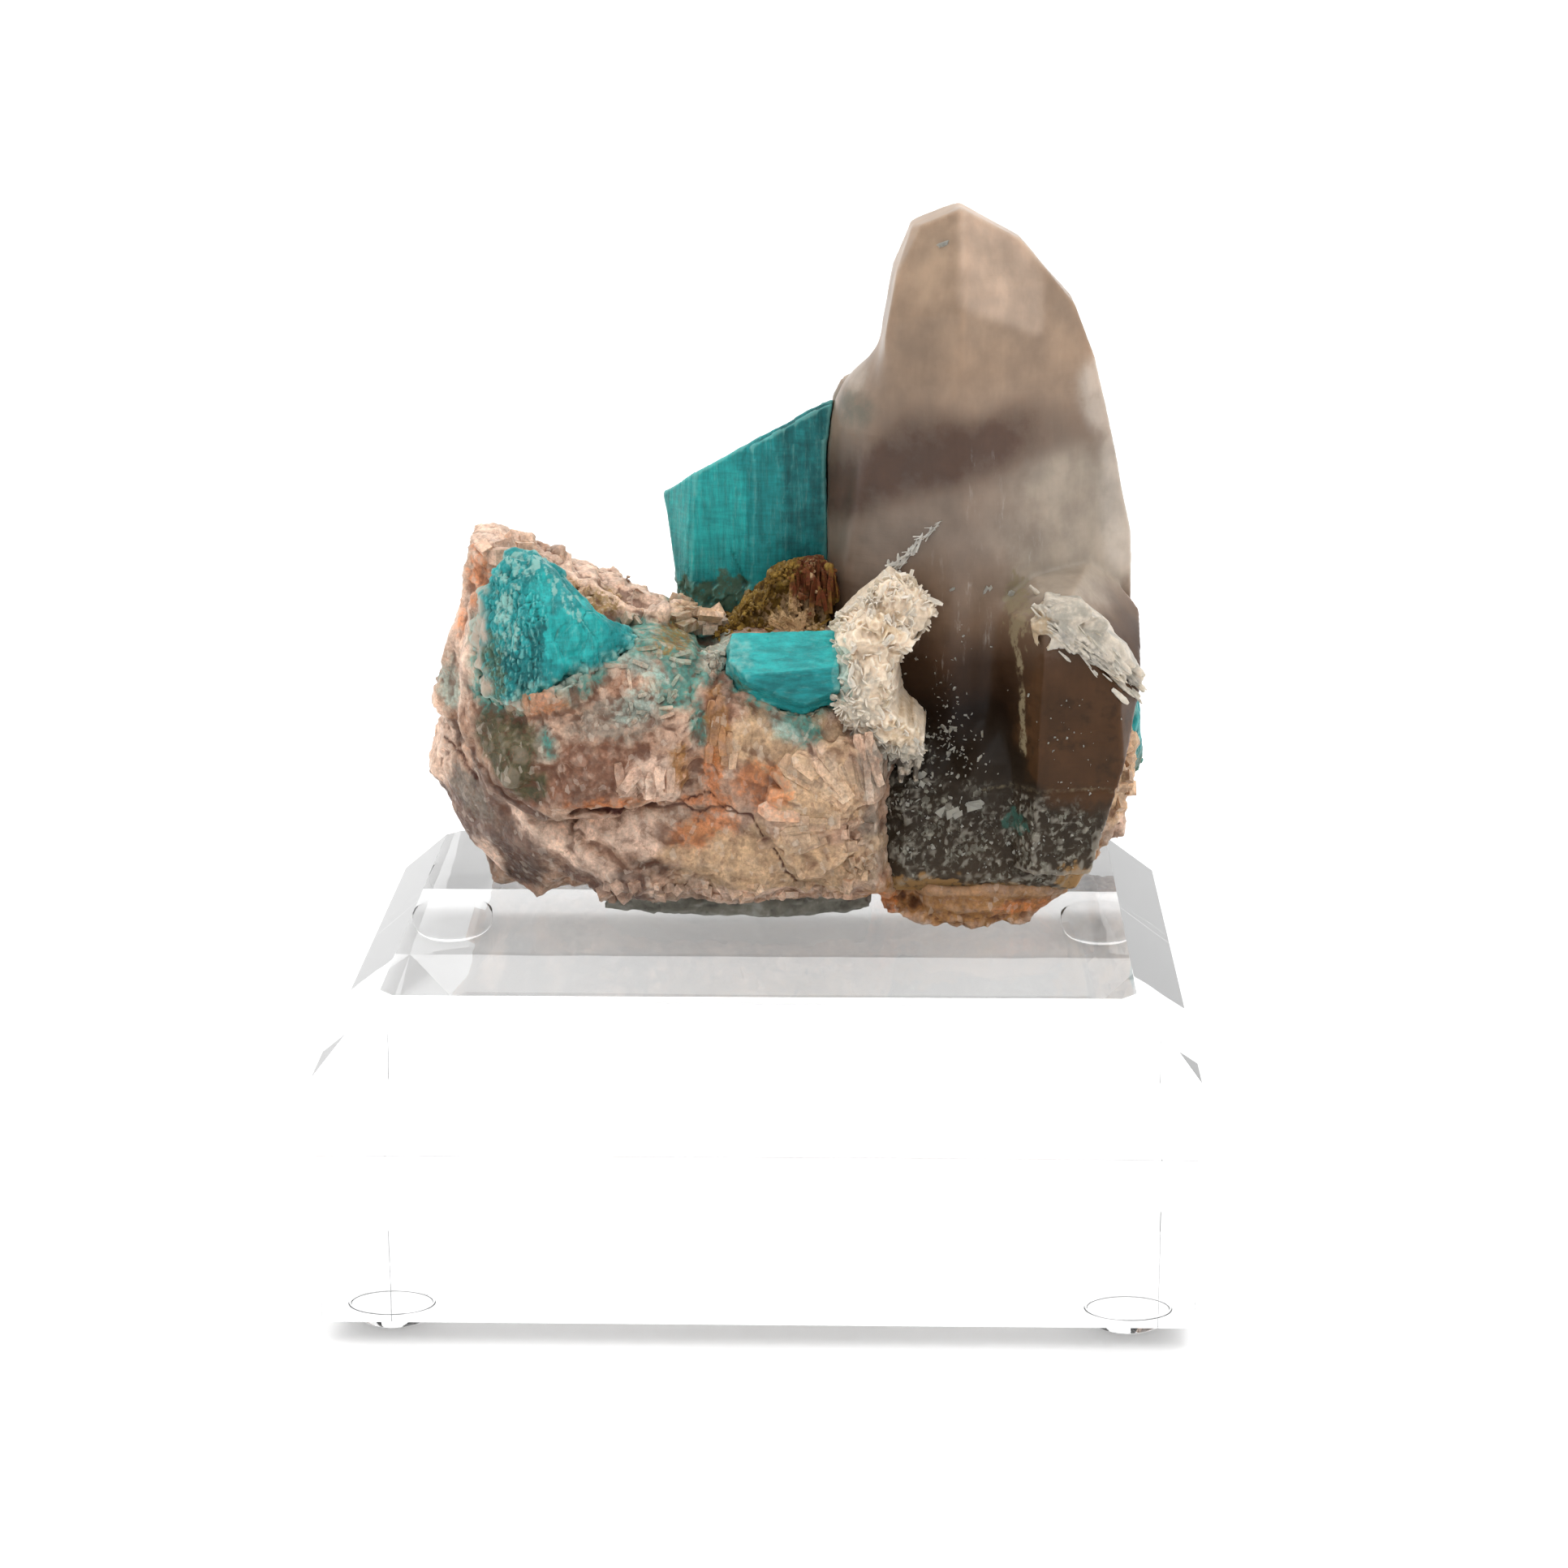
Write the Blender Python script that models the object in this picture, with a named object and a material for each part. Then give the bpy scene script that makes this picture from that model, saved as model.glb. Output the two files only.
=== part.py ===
"""Amazonite, smoky quartz and cleavelandite specimen on a bevelled clear block.

X runs to the right, Y away from the viewer and Z up. The origin is on the surface that the feet
stand on, under the middle of the block. Every number is in millimetres until finish() turns a
solid into metres.
"""

import math
import random

import bmesh
import bpy
from mathutils import Matrix, Vector, geometry, noise

MM = 0.001
GAP = 0.3  # left between solids that touch
PINCH_CHIP = 0.25

# Clear block and its feet
BLOCK_W = 76.2
BLOCK_D = 57.2
BLOCK_H = 28.6
BEVEL_IN = 5.2
BEVEL_DOWN = 5.7
FOOT_R = 4.0
FOOT_FLAT_R = 2.4
FOOT_H = 1.9
FOOT_X = 32.6
FOOT_Y = 22.4
BLOCK_BOTTOM = FOOT_H + GAP
BLOCK_TOP = BLOCK_BOTTOM + BLOCK_H

REST_Z = BLOCK_TOP + GAP  # lowest level of the stone

# Smoky quartz: a point on the front edge of the main crystal, and its tip as (x, z)
FRONT_EDGE = (17.8, -3.0, 55.0)
TIP = (17.4, 95.4)

COLOURS = {
    "acrylic": ((0.93, 0.95, 0.95, 1), 0.03),
    "quartz": ((0.30, 0.22, 0.18, 1), 0.12),
    "amazonite": ((0.03, 0.42, 0.44, 1), 0.35),
    "matrix": ((0.62, 0.47, 0.38, 1), 0.7),
    "albite": ((0.86, 0.80, 0.70, 1), 0.6),
    "limonite": ((0.42, 0.26, 0.08, 1), 0.85),
    "putty": ((0.33, 0.36, 0.33, 1), 0.8),
}


def clear_scene():
    for old in list(bpy.data.objects):
        bpy.data.objects.remove(old)


def material(name):
    found = bpy.data.materials.get(name)
    if found:
        return found
    made = bpy.data.materials.new(name)
    made.use_nodes = True
    shader = made.node_tree.nodes["Principled BSDF"]
    colour, roughness = COLOURS[name]
    shader.inputs["Base Color"].default_value = colour
    shader.inputs["Roughness"].default_value = roughness
    shader.inputs["Metallic"].default_value = 0.0
    return made


# Solids and the joining and cutting of them


def solid(name, bm):
    """An object in millimetres from a closed bmesh, with its faces pointing out."""
    bmesh.ops.recalc_face_normals(bm, faces=bm.faces)
    mesh = bpy.data.meshes.new(name)
    bm.to_mesh(mesh)
    bm.free()
    made = bpy.data.objects.new(name, mesh)
    bpy.context.scene.collection.objects.link(made)
    return made


def combine(base, others, operation):
    """Joins others to base, or cuts them from it, and removes them."""
    group = bpy.data.collections.new("operands")
    bpy.context.scene.collection.children.link(group)
    for other in others:
        group.objects.link(other)
    step = base.modifiers.new("step", "BOOLEAN")
    step.operation = operation
    step.operand_type = "COLLECTION"
    step.collection = group
    step.solver = "EXACT"
    depsgraph = bpy.context.evaluated_depsgraph_get()
    mesh = bpy.data.meshes.new_from_object(base.evaluated_get(depsgraph))
    base.modifiers.clear()
    base.data = mesh
    for other in others:
        bpy.data.objects.remove(other)
    bpy.data.collections.remove(group)
    return base


def join(base, others):
    return combine(base, others, "UNION")


def grown(source):
    """A copy of a solid with its faces moved out, as a cutter that leaves a gap."""
    bm = bmesh.new()
    bm.from_mesh(source.data)
    bmesh.ops.dissolve_limit(bm, angle_limit=math.radians(1), verts=bm.verts, edges=bm.edges)
    bm.normal_update()
    for v in bm.verts:
        v.co += v.normal * GAP * min(v.calc_shell_factor(), 2.0)
    return solid(source.name + "_grown", bm)


def cut(base, *cutters):
    return combine(base, [grown(c) for c in cutters], "DIFFERENCE")


def cut_below(base, level):
    """Removes what lies under a level, for a flat resting face."""
    bm = bmesh.new()
    bmesh.ops.create_cube(bm, size=1.0)
    bm.transform(Matrix.Translation((0, 0, level - 20)) @ Matrix.Diagonal((200, 200, 40, 1)))
    return combine(base, [solid("below", bm)], "DIFFERENCE")


def keep_main_body(base):
    """Drops loose chips that a cut has parted from the solid."""
    bm = bmesh.new()
    bm.from_mesh(base.data)
    left = set(bm.verts)
    bodies = []
    while left:
        reached = {left.pop()}
        edge = list(reached)
        while edge:
            v = edge.pop()
            for e in v.link_edges:
                w = e.other_vert(v)
                if w not in reached:
                    reached.add(w)
                    edge.append(w)
        left -= reached
        bodies.append(reached)
    bodies.sort(key=len)
    chips = [v for body in bodies[:-1] for v in body]
    bmesh.ops.delete(bm, geom=chips, context="VERTS")
    bm.to_mesh(base.data)
    bm.free()
    return base


def tidy(base, merge=0.001, flat=0.5):
    """Merges points that a cut left together, and makes triangles."""
    bm = bmesh.new()
    bm.from_mesh(base.data)
    bmesh.ops.remove_doubles(bm, verts=bm.verts, dist=merge)
    bmesh.ops.dissolve_limit(bm, angle_limit=math.radians(flat), verts=bm.verts, edges=bm.edges)
    bmesh.ops.triangulate(bm, faces=bm.faces)
    bm.to_mesh(base.data)
    bm.free()
    return base


def open_pinches(base):
    """Chips the rock away wherever it would touch itself along a mere edge."""
    for attempt in range(4):
        bm = bmesh.new()
        bm.from_mesh(base.data)
        chips = []
        for e in bm.edges:
            if len(e.link_faces) > 2:
                middle = (e.verts[0].co + e.verts[1].co) / 2
                half = e.calc_length() / 2 + PINCH_CHIP
                chips.append(block(middle, (half, half, half), (20, 35, 10)))
        bm.free()
        if not chips:
            break
        tidy(combine(base, chips, "DIFFERENCE"))
    return keep_main_body(base)


def finish(base, finish_name):
    """Gives a finished solid its material and turns it into metres."""
    base.data.materials.clear()
    base.data.materials.append(material(finish_name))
    base.data.transform(Matrix.Scale(MM, 4))
    return base


# Crystals with flat faces


def facet(azimuth, tilt, point):
    """A plane through point whose outward normal has that azimuth (0 is towards the viewer,
    90 to the right) and that tilt above the horizon, in degrees."""
    a = math.radians(azimuth)
    t = math.radians(tilt)
    normal = Vector((math.sin(a) * math.cos(t), -math.cos(a) * math.cos(t), math.sin(t)))
    return normal, Vector(point)


def crystal(name, facets, size=120.0):
    """The space behind all the facets."""
    bm = bmesh.new()
    bmesh.ops.create_cube(bm, size=size)
    bmesh.ops.translate(bm, verts=bm.verts, vec=(0, 0, size / 2))
    for normal, point in facets:
        geometry = bm.verts[:] + bm.edges[:] + bm.faces[:]
        cut_through = bmesh.ops.bisect_plane(
            bm, geom=geometry, dist=1e-5, plane_co=point, plane_no=normal, clear_outer=True
        )
        rim = [e for e in cut_through["geom_cut"] if isinstance(e, bmesh.types.BMEdge)]
        if rim:
            bmesh.ops.contextual_create(bm, geom=rim)
    bmesh.ops.remove_doubles(bm, verts=bm.verts, dist=1e-4)
    return solid(name, bm)


def side_facets(outline, azimuth, y):
    """Facets seen edge-on from the front, one for each stretch of an outline of (x, z) points."""
    made = []
    for (x0, z0), (x1, z1) in zip(outline, outline[1:]):
        side = 1 if azimuth > 0 else -1
        tilt = math.degrees(math.atan2(side * (x0 - x1), z1 - z0))
        made.append(facet(azimuth, tilt, (x0, y, z0)))
    return made


def block(centre, axes, turn):
    """A small cleavage block: half sizes along its axes, turned by Euler angles in degrees."""
    bm = bmesh.new()
    bmesh.ops.create_cube(bm, size=2.0)
    shape = Matrix.Diagonal((*axes, 1))
    spin = Matrix.Rotation(math.radians(turn[2]), 4, "Z")
    spin = spin @ Matrix.Rotation(math.radians(turn[1]), 4, "Y")
    spin = spin @ Matrix.Rotation(math.radians(turn[0]), 4, "X")
    bm.transform(Matrix.Translation(centre) @ spin @ shape)
    return solid("block", bm)


def blade(root, tip, width, thickness, facing=(0, -1, 0)):
    """A flat lath from root to tip, its broad side towards facing, pointed at the tip."""
    root = Vector(root)
    along = Vector(tip) - root
    across = along.cross(Vector(facing)).normalized()
    through = across.cross(along).normalized()
    bm = bmesh.new()
    sections = ((0.0, 0.55), (0.7, 1.0), (1.0, 0.35))
    rings = []
    for share, wide in sections:
        centre = root + along * share
        a = across * width / 2 * wide
        t = through * thickness / 2
        rings.append([bm.verts.new(centre + c) for c in (a + t, -a + t, -a - t, a - t)])
    for low, high in zip(rings, rings[1:]):
        for k in range(4):
            bm.faces.new((low[k], low[k - 1], high[k - 1], high[k]))
    bm.faces.new(rings[0])
    bm.faces.new(reversed(rings[-1]))
    return solid("blade", bm)


# Lumps of broken rock


def walk(outline, step):
    """The outline's corners, with points between them about a step apart."""
    points = []
    for (x0, z0), (x1, z1) in zip(outline, outline[1:] + outline[:1]):
        count = max(1, round(math.hypot(x1 - x0, z1 - z0) / step))
        points += [(x0 + (x1 - x0) * k / count, z0 + (z1 - z0) * k / count) for k in range(count)]
    return points


def depth_inside(outline, x, z):
    """How far a point lies inside an outline; negative outside it."""
    nearest = 1e9
    inside = False
    for (x0, z0), (x1, z1) in zip(outline, outline[1:] + outline[:1]):
        dx = x1 - x0
        dz = z1 - z0
        along = max(0.0, min(1.0, ((x - x0) * dx + (z - z0) * dz) / (dx * dx + dz * dz)))
        nearest = min(nearest, math.hypot(x - x0 - along * dx, z - z0 - along * dz))
        if (z0 > z) != (z1 > z) and x < x0 + dx * (z - z0) / dz:
            inside = not inside
    return nearest if inside else -nearest


def fill(outline, step):
    """Points on and inside an outline in a triangular grid, and the triangles between them."""
    points = walk(outline, step)
    rim_count = len(points)
    low_x = min(x for x, z in outline)
    high_x = max(x for x, z in outline)
    low_z = min(z for x, z in outline)
    high_z = max(z for x, z in outline)
    rows = int((high_z - low_z) / (step * 0.87)) + 1
    columns = int((high_x - low_x) / step) + 2
    for row in range(rows):
        for column in range(columns):
            x = low_x + (column + 0.5 * (row % 2)) * step
            z = low_z + row * step * 0.87
            if depth_inside(outline, x, z) > 0.55 * step:
                points.append((x, z))
    rim = [(k, (k + 1) % rim_count) for k in range(rim_count)]
    plan = geometry.delaunay_2d_cdt([Vector(p) for p in points], rim, [], 1, 1e-4)
    return points, rim_count, plan[2]


def at_depth(surface, x, z):
    """The depth y at (x, z), blended from the (x, z, y) points of a surface."""
    total = 0.0
    blend = 0.0
    for sx, sz, sy in surface:
        weight = 1 / ((x - sx) ** 2 + (z - sz) ** 2 + 0.6) ** 2
        total += weight
        blend += weight * sy
    return blend / total


def lump(name, outline, front, back, rim=2.6, relief=0.6, grain=4.5, step=2.6, seed=0):
    """A closed lump with an outline seen from the front. Front and back are the (x, z, y) points
    that its two faces pass through; one point makes a face flat. The edges are rounded by rim,
    and noise of that relief and grain roughens the lump."""
    points, rim_count, triangles = fill(outline, step)
    bm = bmesh.new()
    faces = []
    rings = []
    for near in (True, False):
        layer = []
        for x, z in points:
            inside = max(0.0, min(1.0, depth_inside(outline, x, z) / rim))
            fall = rim * (1 - math.sqrt(1 - (1 - inside) ** 2))
            y = at_depth(front, x, z) + fall if near else at_depth(back, x, z) - fall
            layer.append(bm.verts.new((x, y, z)))
        faces += [[layer[i] for i in triangle] for triangle in triangles]
        rings.append(layer[:rim_count])
    thickness = sum(b.co.y - a.co.y for a, b in zip(*rings)) / rim_count
    rows = max(1, round(thickness / (step * 1.3)))
    wall = [rings[0]]
    for row in range(1, rows):
        wall.append([bm.verts.new(a.co.lerp(b.co, row / rows)) for a, b in zip(*rings)])
    wall.append(rings[1])
    for near, far in zip(wall, wall[1:]):
        for k in range(rim_count):
            faces.append((near[k - 1], near[k], far[k], far[k - 1]))
    for face in faces:
        bm.faces.new(face)
    bmesh.ops.recalc_face_normals(bm, faces=bm.faces)
    bm.normal_update()
    shift = Vector((seed * 17.3, seed * 5.1, seed * 9.7))
    moves = []
    for v in bm.verts:
        broad = noise.noise(v.co / grain + shift)
        fine = noise.noise(v.co / (grain * 0.4) + shift)
        moves.append(v.normal * relief * (broad + 0.45 * fine))
    for v, move in zip(bm.verts, moves):
        v.co += move
    bmesh.ops.triangulate(bm, faces=bm.faces)
    return solid(name, bm)


# The pieces


def clear_block():
    bm = bmesh.new()
    x = BLOCK_W / 2
    y = BLOCK_D / 2
    levels = (
        (BLOCK_BOTTOM, 0.0),
        (BLOCK_TOP - BEVEL_DOWN, 0.0),
        (BLOCK_TOP, BEVEL_IN),
    )
    rings = []
    for z, inset in levels:
        corners = ((-1, -1), (1, -1), (1, 1), (-1, 1))
        rings.append([bm.verts.new((sx * (x - inset), sy * (y - inset), z)) for sx, sy in corners])
    for low, high in zip(rings, rings[1:]):
        for k in range(4):
            bm.faces.new((low[k - 1], low[k], high[k], high[k - 1]))
    bm.faces.new(reversed(rings[0]))
    bm.faces.new(rings[-1])
    bmesh.ops.recalc_face_normals(bm, faces=bm.faces)
    bmesh.ops.bevel(bm, geom=bm.edges[:], offset=0.35, segments=1, affect="EDGES")
    made = solid("clear_block", bm)
    return finish(made, "acrylic")


def foot(name, x, y):
    """A soft clear bumper: a flat sole, a rounded side and a flat top under the block."""
    bm = bmesh.new()
    arc = [(FOOT_FLAT_R, 0.0)]
    steps = 4
    for k in range(1, steps + 1):
        a = math.pi / 2 * k / steps
        r = FOOT_FLAT_R + (FOOT_R - FOOT_FLAT_R) * math.sin(a)
        arc.append((r, FOOT_H * (1 - math.cos(a))))
    around = 20
    rings = []
    for r, z in arc:
        angles = [2 * math.pi * k / around for k in range(around)]
        rings.append([bm.verts.new((x + r * math.cos(a), y + r * math.sin(a), z)) for a in angles])
    for low, high in zip(rings, rings[1:]):
        for k in range(around):
            bm.faces.new((low[k - 1], low[k], high[k], high[k - 1]))
    bm.faces.new(reversed(rings[0]))
    bm.faces.new(rings[-1])
    made = solid(name, bm)
    made.data.shade_smooth()
    made.data.set_sharp_from_angle(angle=math.radians(40))
    return finish(made, "acrylic")


# Edges of the main crystal as seen from the front, from low to high
RIGHT_SIDE = [(33.4, 50.0), (33.8, 56.0), (33.6, 65.0), (31.7, 74.0), (29.8, 81.4), (27.8, 86.5),
              (22.8, 92.5)]
LEFT_SIDE = [(6.2, 60.0), (8.8, 81.4), (11.8, 89.5), (12.5, 93.1)]
SHOULDER_SIDE = [(5.6, 40.0), (5.7, 72.5), (6.3, 77.0), (7.6, 79.8), (9.5, 81.3)]


def main_crystal():
    """The tall crystal: six steep sides that close in towards a chisel tip."""
    x, y, z = FRONT_EDGE
    facets = [
        facet(-28, 1.5, (x, y, z)),
        facet(32, 1.5, (x, y, z)),
        facet(150, 2, (19.5, 17.5, z)),
        facet(-146, 3, (19.5, 17.5, z)),
        facet(30, 17, (18.1, -2.2, 86.7)),
        facet(-30, 15, (18.1, -2.2, 86.7)),
        facet(-70, 24, (11.4, 1.5, 87.5)),
        facet(160, 38, (19.0, 11.0, 88.0)),
        facet(-150, 33, (17.0, 14.0, 88.0)),
        facet(92, -15, (33.4, 6.0, 50.0)),
        facet(0, -90, (x, y, 36.5)),
    ]
    facets += side_facets(RIGHT_SIDE + [TIP], 92, 6.0)
    facets += side_facets(LEFT_SIDE + [TIP], -88, 6.0)
    return crystal("smoky_quartz", facets)


def left_shoulder():
    """A lower crystal grown side by side with the main one, on its left."""
    facets = [
        facet(-52, 2, (8.0, 4.2, 70.0)),
        facet(-20, 1, (8.6, 3.0, 70.0)),
        facet(170, 2, (10.0, 14.5, 60.0)),
        facet(90, 0, (14.0, 5.0, 60.0)),
        facet(-20, 52, (8.5, 5.5, 80.4)),
        facet(-170, 40, (8.0, 9.5, 80.0)),
        facet(0, -90, (8.0, 5.0, 44.0)),
    ]
    facets += side_facets(SHOULDER_SIDE, -88, 6.0)
    return crystal("left_shoulder", facets)


def side_crystal():
    """The stubby crystal that leans out to the lower right."""
    facets = [
        facet(6, 3, (28.0, -8.6, 50.0)),
        facet(-58, 4, (23.5, -6.8, 50.0)),
        facet(62, 4, (33.0, -6.0, 52.0)),
        facet(95, -17, (33.9, -3.0, 53.6)),
        facet(66, 38, (33.4, -4.0, 54.2)),
        facet(5, 78, (27.0, -6.5, 60.6)),
        facet(-60, 62, (23.6, -4.5, 60.3)),
        facet(180, 0, (28.0, 6.0, 50.0)),
        facet(0, -90, (28.0, -4.0, 37.3)),
    ]
    return crystal("side_crystal", facets)


def quartz_root():
    """The broken lower end that both crystals share."""
    return lump(
        "quartz_root",
        outline=[
            (9.8, 46.0), (14.0, 49.5), (24.0, 49.0), (30.6, 44.5),
            (29.8, 38.0), (28.4, 34.4), (19.0, 34.0), (11.2, 34.3),
        ],
        front=[
            (14, 48, -2.6), (24, 47, -5.5), (13, 42, -5.4), (20, 42, -6.2),
            (28, 42, -6.8), (13, 36, -6.4), (25, 36, -6.8),
        ],
        back=[(20, 42, 12.5)],
        rim=1.6,
        relief=0.4,
        grain=3.0,
        step=2.4,
        seed=3,
    )


def smoky_quartz():
    return tidy(join(main_crystal(), [left_shoulder(), side_crystal(), quartz_root()]))


def amazonite_back():
    """The blocky crystal behind, with a slanted top and a stepped front."""
    top = Vector((-0.468, 0.216, 0.857))
    main = crystal(
        "amazonite_crystal_back",
        [
            facet(0, 1, (0.0, 9.3, 62.0)),
            facet(-52, 3, (-7.3, 9.6, 62.0)),
            facet(-88, -7.5, (-9.8, 12.0, 68.0)),
            facet(176, 2, (0.0, 21.0, 62.0)),
            facet(-150, 3, (-7.0, 20.0, 62.0)),
            facet(90, 0, (12.5, 14.0, 62.0)),
            facet(0, -90, (0.0, 14.0, 47.0)),
            (top, Vector((-2.1, 9.3, 72.7))),
        ],
    )
    step = crystal(
        "front_step",
        [
            facet(0, 1, (0.0, 8.5, 62.0)),
            facet(-60, 2, (-2.0, 9.2, 62.0)),
            facet(90, 0, (12.0, 10.0, 62.0)),
            facet(180, 0, (0.0, 14.0, 62.0)),
            facet(0, -90, (0.0, 14.0, 48.0)),
            (top, Vector((-2.1, 9.3, 72.3))),
        ],
    )
    return tidy(join(main, [step]))


def amazonite_left():
    """The etched crystal set in the left lobe: a steep front and a side that slopes away."""
    return lump(
        "amazonite_crystal_left",
        outline=[
            (-25.3, 57.0), (-24.6, 62.5), (-22.4, 66.0), (-20.2, 65.8), (-17.5, 63.6), (-14.6, 60.6),
            (-11.4, 58.0), (-13.6, 55.6), (-17.0, 53.6), (-21.5, 52.8), (-24.4, 54.0),
        ],
        front=[
            (-24, 60, -9.2), (-21, 65, -8.4), (-20.6, 60, -11.0),
            (-20.4, 55.5, -11.6), (-17, 60, -10.0), (-13, 57.6, -8.4),
        ],
        back=[(-18, 60, -3.0)],
        rim=1.4,
        relief=0.3,
        grain=2.5,
        step=1.9,
        seed=13,
    )


def amazonite_front():
    """The bright wedge at the middle of the front, its top face lit and its front pointed."""
    facets = [
        facet(-4, 64, (2.0, -9.0, 56.2)),
        facet(4, 4, (3.0, -9.3, 55.0)),
        facet(-58, -18, (-2.4, -7.8, 55.9)),
        facet(-88, 4, (-2.8, -6.0, 57.0)),
        facet(-25, -48, (1.3, -8.6, 53.6)),
        facet(88, 2, (6.9, -7.0, 57.0)),
        facet(40, -50, (5.6, -8.0, 53.2)),
        facet(180, 10, (2.0, -3.9, 56.0)),
        facet(0, -90, (2.0, -6.0, 50.6)),
    ]
    return tidy(crystal("amazonite_crystal_front", facets))


def amazonite_right():
    """The small crystal behind on the right, of which only the right edge shows from the front."""
    facets = [
        facet(12, 4, (31.0, 10.6, 42.0)),
        facet(86, 6, (35.1, 14.0, 46.0)),
        facet(178, 0, (31.0, 20.0, 42.0)),
        facet(-90, 0, (27.0, 14.0, 42.0)),
        facet(40, 55, (33.5, 13.0, 48.9)),
        facet(0, 90, (31.0, 14.0, 49.4)),
        facet(60, -25, (34.8, 14.0, 43.0)),
        facet(0, -90, (31.0, 14.0, 37.5)),
    ]
    return tidy(crystal("amazonite_crystal_right", facets))


def rosette():
    """The cream cluster of blades that grew over the foot of the quartz."""
    base = lump(
        "cleavelandite_rosette",
        outline=[
            (7.0, 59.4), (9.0, 61.2), (11.4, 63.4), (13.3, 62.6), (15.2, 60.4), (13.2, 57.4),
            (12.4, 54.6), (14.8, 50.4), (14.0, 47.6), (11.0, 48.2), (8.3, 50.3), (7.1, 54.0),
        ],
        front=[
            (9, 59, -8.6), (12, 61, -6.6), (13.6, 60, -6.2),
            (10, 55, -9.2), (8.6, 52, -9.6), (12.6, 49.6, -8.6),
        ],
        back=[(11, 55, 2.0)],
        rim=1.3,
        relief=0.5,
        grain=1.8,
        step=1.6,
        seed=5,
    )
    heart = Vector((10.6, -4.5, 55.5))
    picks = random.Random(11)
    fins = []
    count = 18
    for k in range(count):
        angle = math.radians(-30 + 300 * k / (count - 1))
        out = Vector((math.cos(angle), -0.8 - 0.5 * picks.random(), math.sin(angle) * 1.15))
        out.normalize()
        reach = 5.2 + 1.4 * picks.random()
        facing = Vector((picks.uniform(-1, 1), picks.uniform(-0.6, 0.6), picks.uniform(-1, 1)))
        fins.append(blade(heart + out * 2.2, heart + out * reach, 2.4, 0.7, facing))
    return join(base, fins)


def pocket_cluster():
    """The rust-coated blades that fill the recess before the back amazonite."""
    base = lump(
        "rust_stained_cluster",
        outline=[
            (-5.2, 55.6), (-3.8, 58.4), (-1.4, 59.6), (0.3, 61.6), (3.2, 62.6),
            (6.6, 62.4), (7.0, 54.0), (1.2, 52.5), (-4.9, 53.0),
        ],
        front=[(-4, 56, 4.0), (0, 58, 3.6), (4, 61, 4.4), (5, 56, 2.6)],
        back=[(1, 58, 11.0)],
        rim=1.4,
        relief=0.6,
        grain=2.0,
        step=2.0,
        seed=8,
    )
    picks = random.Random(4)
    fins = []
    count = 13
    for k in range(count):
        x = -4.0 + 9.6 * k / (count - 1)
        root = Vector((x, 6.6, 56.0))
        lean = Vector((picks.uniform(-0.25, 0.25), -0.55 - 0.4 * picks.random(), 1.0))
        lean.normalize()
        reach = 3.2 + 0.45 * (x + 4.0) + 1.2 * picks.random()
        facing = (picks.uniform(-0.6, 0.6), -1, 0.2)
        fins.append(blade(root, root + lean * reach, 1.9, 0.7, facing))
    return join(base, fins)


def side_crust():
    """The pale crust on the shoulder of the side crystal."""
    return lump(
        "cleavelandite_crust",
        outline=[
            (23.8, 60.0), (25.4, 61.8), (28.4, 61.6), (30.0, 60.0), (32.6, 57.2),
            (34.2, 54.4), (33.0, 52.8), (30.4, 55.0), (27.6, 57.0), (24.6, 57.2),
        ],
        front=[(25, 59, -8.9), (28, 59.5, -8.8), (31, 57, -8.4), (33.4, 54, -6.6)],
        back=[(29, 58, -2.0)],
        rim=1.2,
        relief=0.35,
        grain=1.8,
        step=1.5,
        seed=12,
    )


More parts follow.
